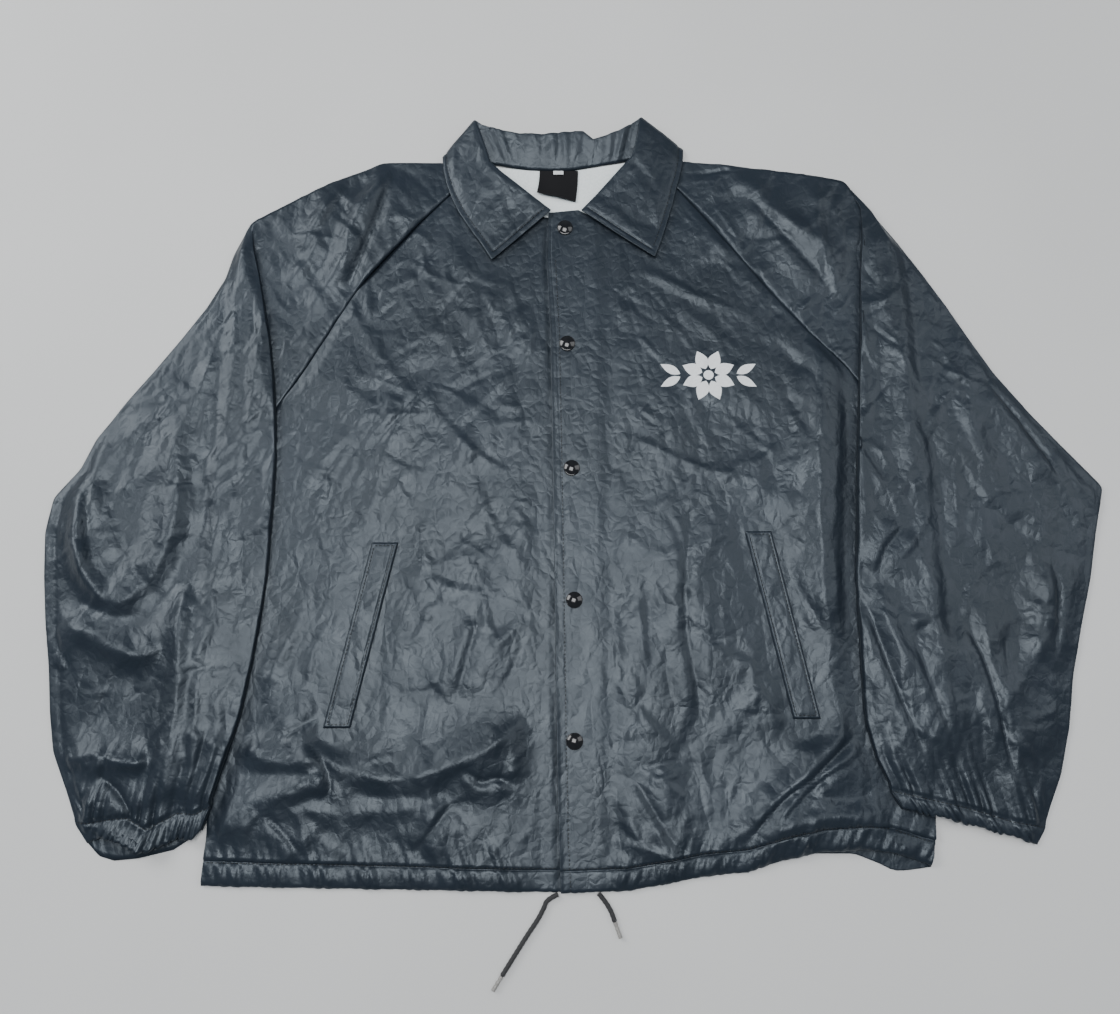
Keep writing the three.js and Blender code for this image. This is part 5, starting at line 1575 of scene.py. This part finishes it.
# %% Nylon shell
def crackle(nodes, links, place, scale):
    """A net of fine bent lines, as a height: the edges between cells of a warped pattern."""
    warp = nodes.new("ShaderNodeTexNoise")
    warp.inputs["Scale"].default_value = scale * 0.7
    warp.inputs["Detail"].default_value = 2
    links.new(place, warp.inputs["Vector"])
    mix = nodes.new("ShaderNodeVectorMath")
    mix.operation = "MULTIPLY_ADD"
    mix.inputs[1].default_value = (0.9 / scale, 0.9 / scale, 0)
    links.new(warp.outputs["Color"], mix.inputs[0])
    links.new(place, mix.inputs[2])
    cells = nodes.new("ShaderNodeTexVoronoi")
    cells.feature = "DISTANCE_TO_EDGE"
    cells.inputs["Scale"].default_value = scale
    links.new(mix.outputs["Vector"], cells.inputs["Vector"])
    return cells.outputs["Distance"]


def nylon(name):
    material, nodes, links, shader, place = new_material(name)
    patches = noise(nodes, links, place, 9, 3)
    links.new(colour_between(nodes, links, patches, (0.0085, 0.0128, 0.0190), (0.0142, 0.0200, 0.0285)),
              shader.inputs["Base Color"])
    smudges = noise(nodes, links, place, 34, 5, 0.6)
    links.new(value_between(nodes, links, smudges, 0.32, 0.44), shader.inputs["Roughness"])
    drawn = nodes.new("ShaderNodeMapping")
    drawn.inputs["Rotation"].default_value = (0, 0, 0.12)
    drawn.inputs["Scale"].default_value = (1.0, 0.6, 1.0)
    links.new(place, drawn.inputs["Vector"])
    drawn = drawn.outputs["Vector"]
    large = bump(nodes, links, crackle(nodes, links, drawn, 56), 0.42, 0.0027)
    small = bump(nodes, links, crackle(nodes, links, place, 128), 0.40, 0.0011, large)
    crinkle = noise(nodes, links, drawn, 66, 6, 0.6, "RIDGED_MULTIFRACTAL")
    creased = bump(nodes, links, crinkle, 0.38, 0.0013, small)
    weave = bump(nodes, links, threads(nodes, links, place, 640), 0.10, 0.0001, creased)
    links.new(weave, shader.inputs["Normal"])
    shader.inputs["Specular IOR Level"].default_value = 0.5
    shader.inputs["Specular Tint"].default_value = (0.82, 0.92, 1.0, 1)
    shader.inputs["Sheen Weight"].default_value = 0.05
    shader.inputs["Sheen Roughness"].default_value = 0.4
    shader.inputs["Sheen Tint"].default_value = (0.62, 0.74, 0.86, 1)
    return material


shell = nylon("black_nylon_taffeta")

# %% [markdown]
# The lining is a brushed knit: matt, white with a cool cast, with short soft hairs that catch light.

# %% Brushed lining
lining_material, nodes, links, shader, place = new_material("white_brushed_knit")
fluff = noise(nodes, links, place, 420, 6, 0.7)
links.new(colour_between(nodes, links, fluff, (0.66, 0.72, 0.72), (0.84, 0.88, 0.88)),
          shader.inputs["Base Color"])
links.new(bump(nodes, links, fluff, 0.5, 0.0006), shader.inputs["Normal"])
shader.inputs["Roughness"].default_value = 0.92
shader.inputs["Sheen Weight"].default_value = 0.3

# %% Label tape
label_material, nodes, links, shader, place = new_material("black_woven_tape")
ribs = threads(nodes, links, place, 420)
links.new(colour_between(nodes, links, ribs, (0.004, 0.004, 0.005), (0.014, 0.014, 0.016), 0.1, 0.8),
          shader.inputs["Base Color"])
links.new(bump(nodes, links, ribs, 0.6, 0.0002), shader.inputs["Normal"])
shader.inputs["Roughness"].default_value = 0.7
shader.inputs["Specular IOR Level"].default_value = 0.2

# %% Tab tape
tab_material, nodes, links, shader, place = new_material("white_satin_tape")
ribs = threads(nodes, links, place, 500)
links.new(colour_between(nodes, links, ribs, (0.60, 0.62, 0.62), (0.80, 0.82, 0.82), 0.1, 0.8),
          shader.inputs["Base Color"])
links.new(bump(nodes, links, ribs, 0.4, 0.0002), shader.inputs["Normal"])
shader.inputs["Roughness"].default_value = 0.5

# %% Lacquer
lacquer, nodes, links, shader, place = new_material("gloss_black_lacquer")
handling = noise(nodes, links, place, 260, 4, 0.6)
links.new(value_between(nodes, links, handling, 0.07, 0.16), shader.inputs["Roughness"])
links.new(colour_between(nodes, links, handling, (0.004, 0.004, 0.005), (0.008, 0.008, 0.009)),
          shader.inputs["Base Color"])
links.new(bump(nodes, links, handling, 0.05, 0.0002), shader.inputs["Normal"])
shader.inputs["Specular IOR Level"].default_value = 0.5
shader.inputs["Coat Weight"].default_value = 0.3
shader.inputs["Coat Roughness"].default_value = 0.03

# %% Cord and thread
cord_material, nodes, links, shader, place = new_material("black_braided_polyester")
fibres = noise(nodes, links, place, 1400, 5, 0.65)
links.new(colour_between(nodes, links, fibres, (0.007, 0.007, 0.008), (0.022, 0.022, 0.024)),
          shader.inputs["Base Color"])
links.new(bump(nodes, links, fibres, 0.6, 0.0002), shader.inputs["Normal"])
shader.inputs["Roughness"].default_value = 0.66
shader.inputs["Sheen Weight"].default_value = 0.2

thread_material, nodes, links, shader, place = new_material("black_sewing_thread")
twist = noise(nodes, links, place, 1800, 3, 0.5)
links.new(colour_between(nodes, links, twist, (0.003, 0.004, 0.005), (0.008, 0.010, 0.012)),
          shader.inputs["Base Color"])
links.new(bump(nodes, links, twist, 0.4, 0.0001), shader.inputs["Normal"])
shader.inputs["Roughness"].default_value = 0.45

# %% [markdown]
# The tips are clear film, a little grey with age. The print is a matt white ink with fine pores.

# %% Film and ink
film, nodes, links, shader, place = new_material("clear_grey_film")
haze = noise(nodes, links, place, 600, 4, 0.6)
links.new(colour_between(nodes, links, haze, (0.50, 0.48, 0.45), (0.68, 0.66, 0.62)),
          shader.inputs["Base Color"])
links.new(value_between(nodes, links, haze, 0.14, 0.28), shader.inputs["Roughness"])
links.new(bump(nodes, links, haze, 0.15, 0.0002), shader.inputs["Normal"])
shader.inputs["Transmission Weight"].default_value = 0.55
shader.inputs["IOR"].default_value = 1.46

ink, nodes, links, shader, place = new_material("white_screen_ink")
pores = noise(nodes, links, place, 520, 5, 0.6)
links.new(colour_between(nodes, links, pores, (0.70, 0.72, 0.73), (0.82, 0.84, 0.85)),
          shader.inputs["Base Color"])
links.new(value_between(nodes, links, pores, 0.45, 0.62), shader.inputs["Roughness"])
links.new(bump(nodes, links, pores, 0.25, 0.0003), shader.inputs["Normal"])

# %% [markdown]
# Each piece rides on the one body, takes the place of its solid, and says what cloth it was cut from.


finish_piece(back_piece, shell, "shell", "back")
for side in ("right", "left"):
    finish_piece(front_pieces[side], shell, "shell", "front_" + side)
    finish_piece(sleeve_pieces[side], shell, "shell", "sleeve_front_" + side)
    finish_piece(sleeve_back_pieces[side], shell, "shell", "sleeve_back_" + side)
    finish_piece(welt_pieces[side], shell, "shell", "welt_" + side)
    finish_piece(cord_pieces[side], cord_material, "cord", "drawstring_" + side)
    finish_piece(tip_pieces[side], film, "cord_tip", "cord_tip_" + side)
finish_piece(collar_piece, shell, "shell", "collar")
finish_piece(lining_piece, lining_material, "lining", "lining")
finish_piece(label_piece, label_material, "label", "neck_label")
finish_piece(tab_piece, tab_material, "lining", "size_tab")
for number, cap in enumerate(cap_pieces, 1):
    finish_piece(cap, lacquer, "snap", "snap_" + str(number))
for piece in (body_stitches, cuff_stitches, collar_stitches):
    finish_piece(piece, thread_material, "shell")
finish_piece(print_piece, ink, "lining")

# %% [markdown]
# The floor is plain and pale, and three wide soft lights shine on it. The first stands to the left beyond
# the collar, as the window did in the photograph. A weaker one fills in from the right, and the strongest
# hangs over the jacket.

# %% Floor and light
bpy.ops.object.select_all(action="DESELECT")
bpy.ops.mesh.primitive_plane_add(size=8, location=(0, 0, 0))
floor = bpy.context.object
floor.name = "studio_floor"
floor_material, nodes, links, shader, place = new_material("pale_floor")
tone = noise(nodes, links, place, 3, 2)
links.new(colour_between(nodes, links, tone, (0.60, 0.60, 0.59), (0.64, 0.64, 0.63)),
          shader.inputs["Base Color"])
shader.inputs["Roughness"].default_value = 0.8
floor.data.materials.append(floor_material)


def soft_light(name, place, aim, size, power):
    bpy.ops.object.light_add(type="AREA", location=place)
    light = bpy.context.object
    light.name = name
    light.data.shape = "RECTANGLE"
    light.data.size, light.data.size_y = size
    light.data.energy = power
    light.rotation_euler = (Vector(aim) - Vector(place)).to_track_quat("-Z", "Y").to_euler()
    return light


soft_light("window_light", (-1.7, 0.9, 1.3), (0, 0, 0), (1.4, 1.0), 32)
soft_light("fill_light", (1.7, 0.6, 1.7), (0, 0, 0), (1.4, 1.4), 13)
soft_light("top_light", (-0.20, 0.02, 2.5), (-0.03, -0.03, 0), (1.3, 1.4), 49)
world = bpy.data.worlds.new("soft_room")
world.use_nodes = True
world.node_tree.nodes["Background"].inputs["Color"].default_value = (0.74, 0.86, 1.0, 1)
world.node_tree.nodes["Background"].inputs["Strength"].default_value = 0.26
bpy.context.scene.world = world
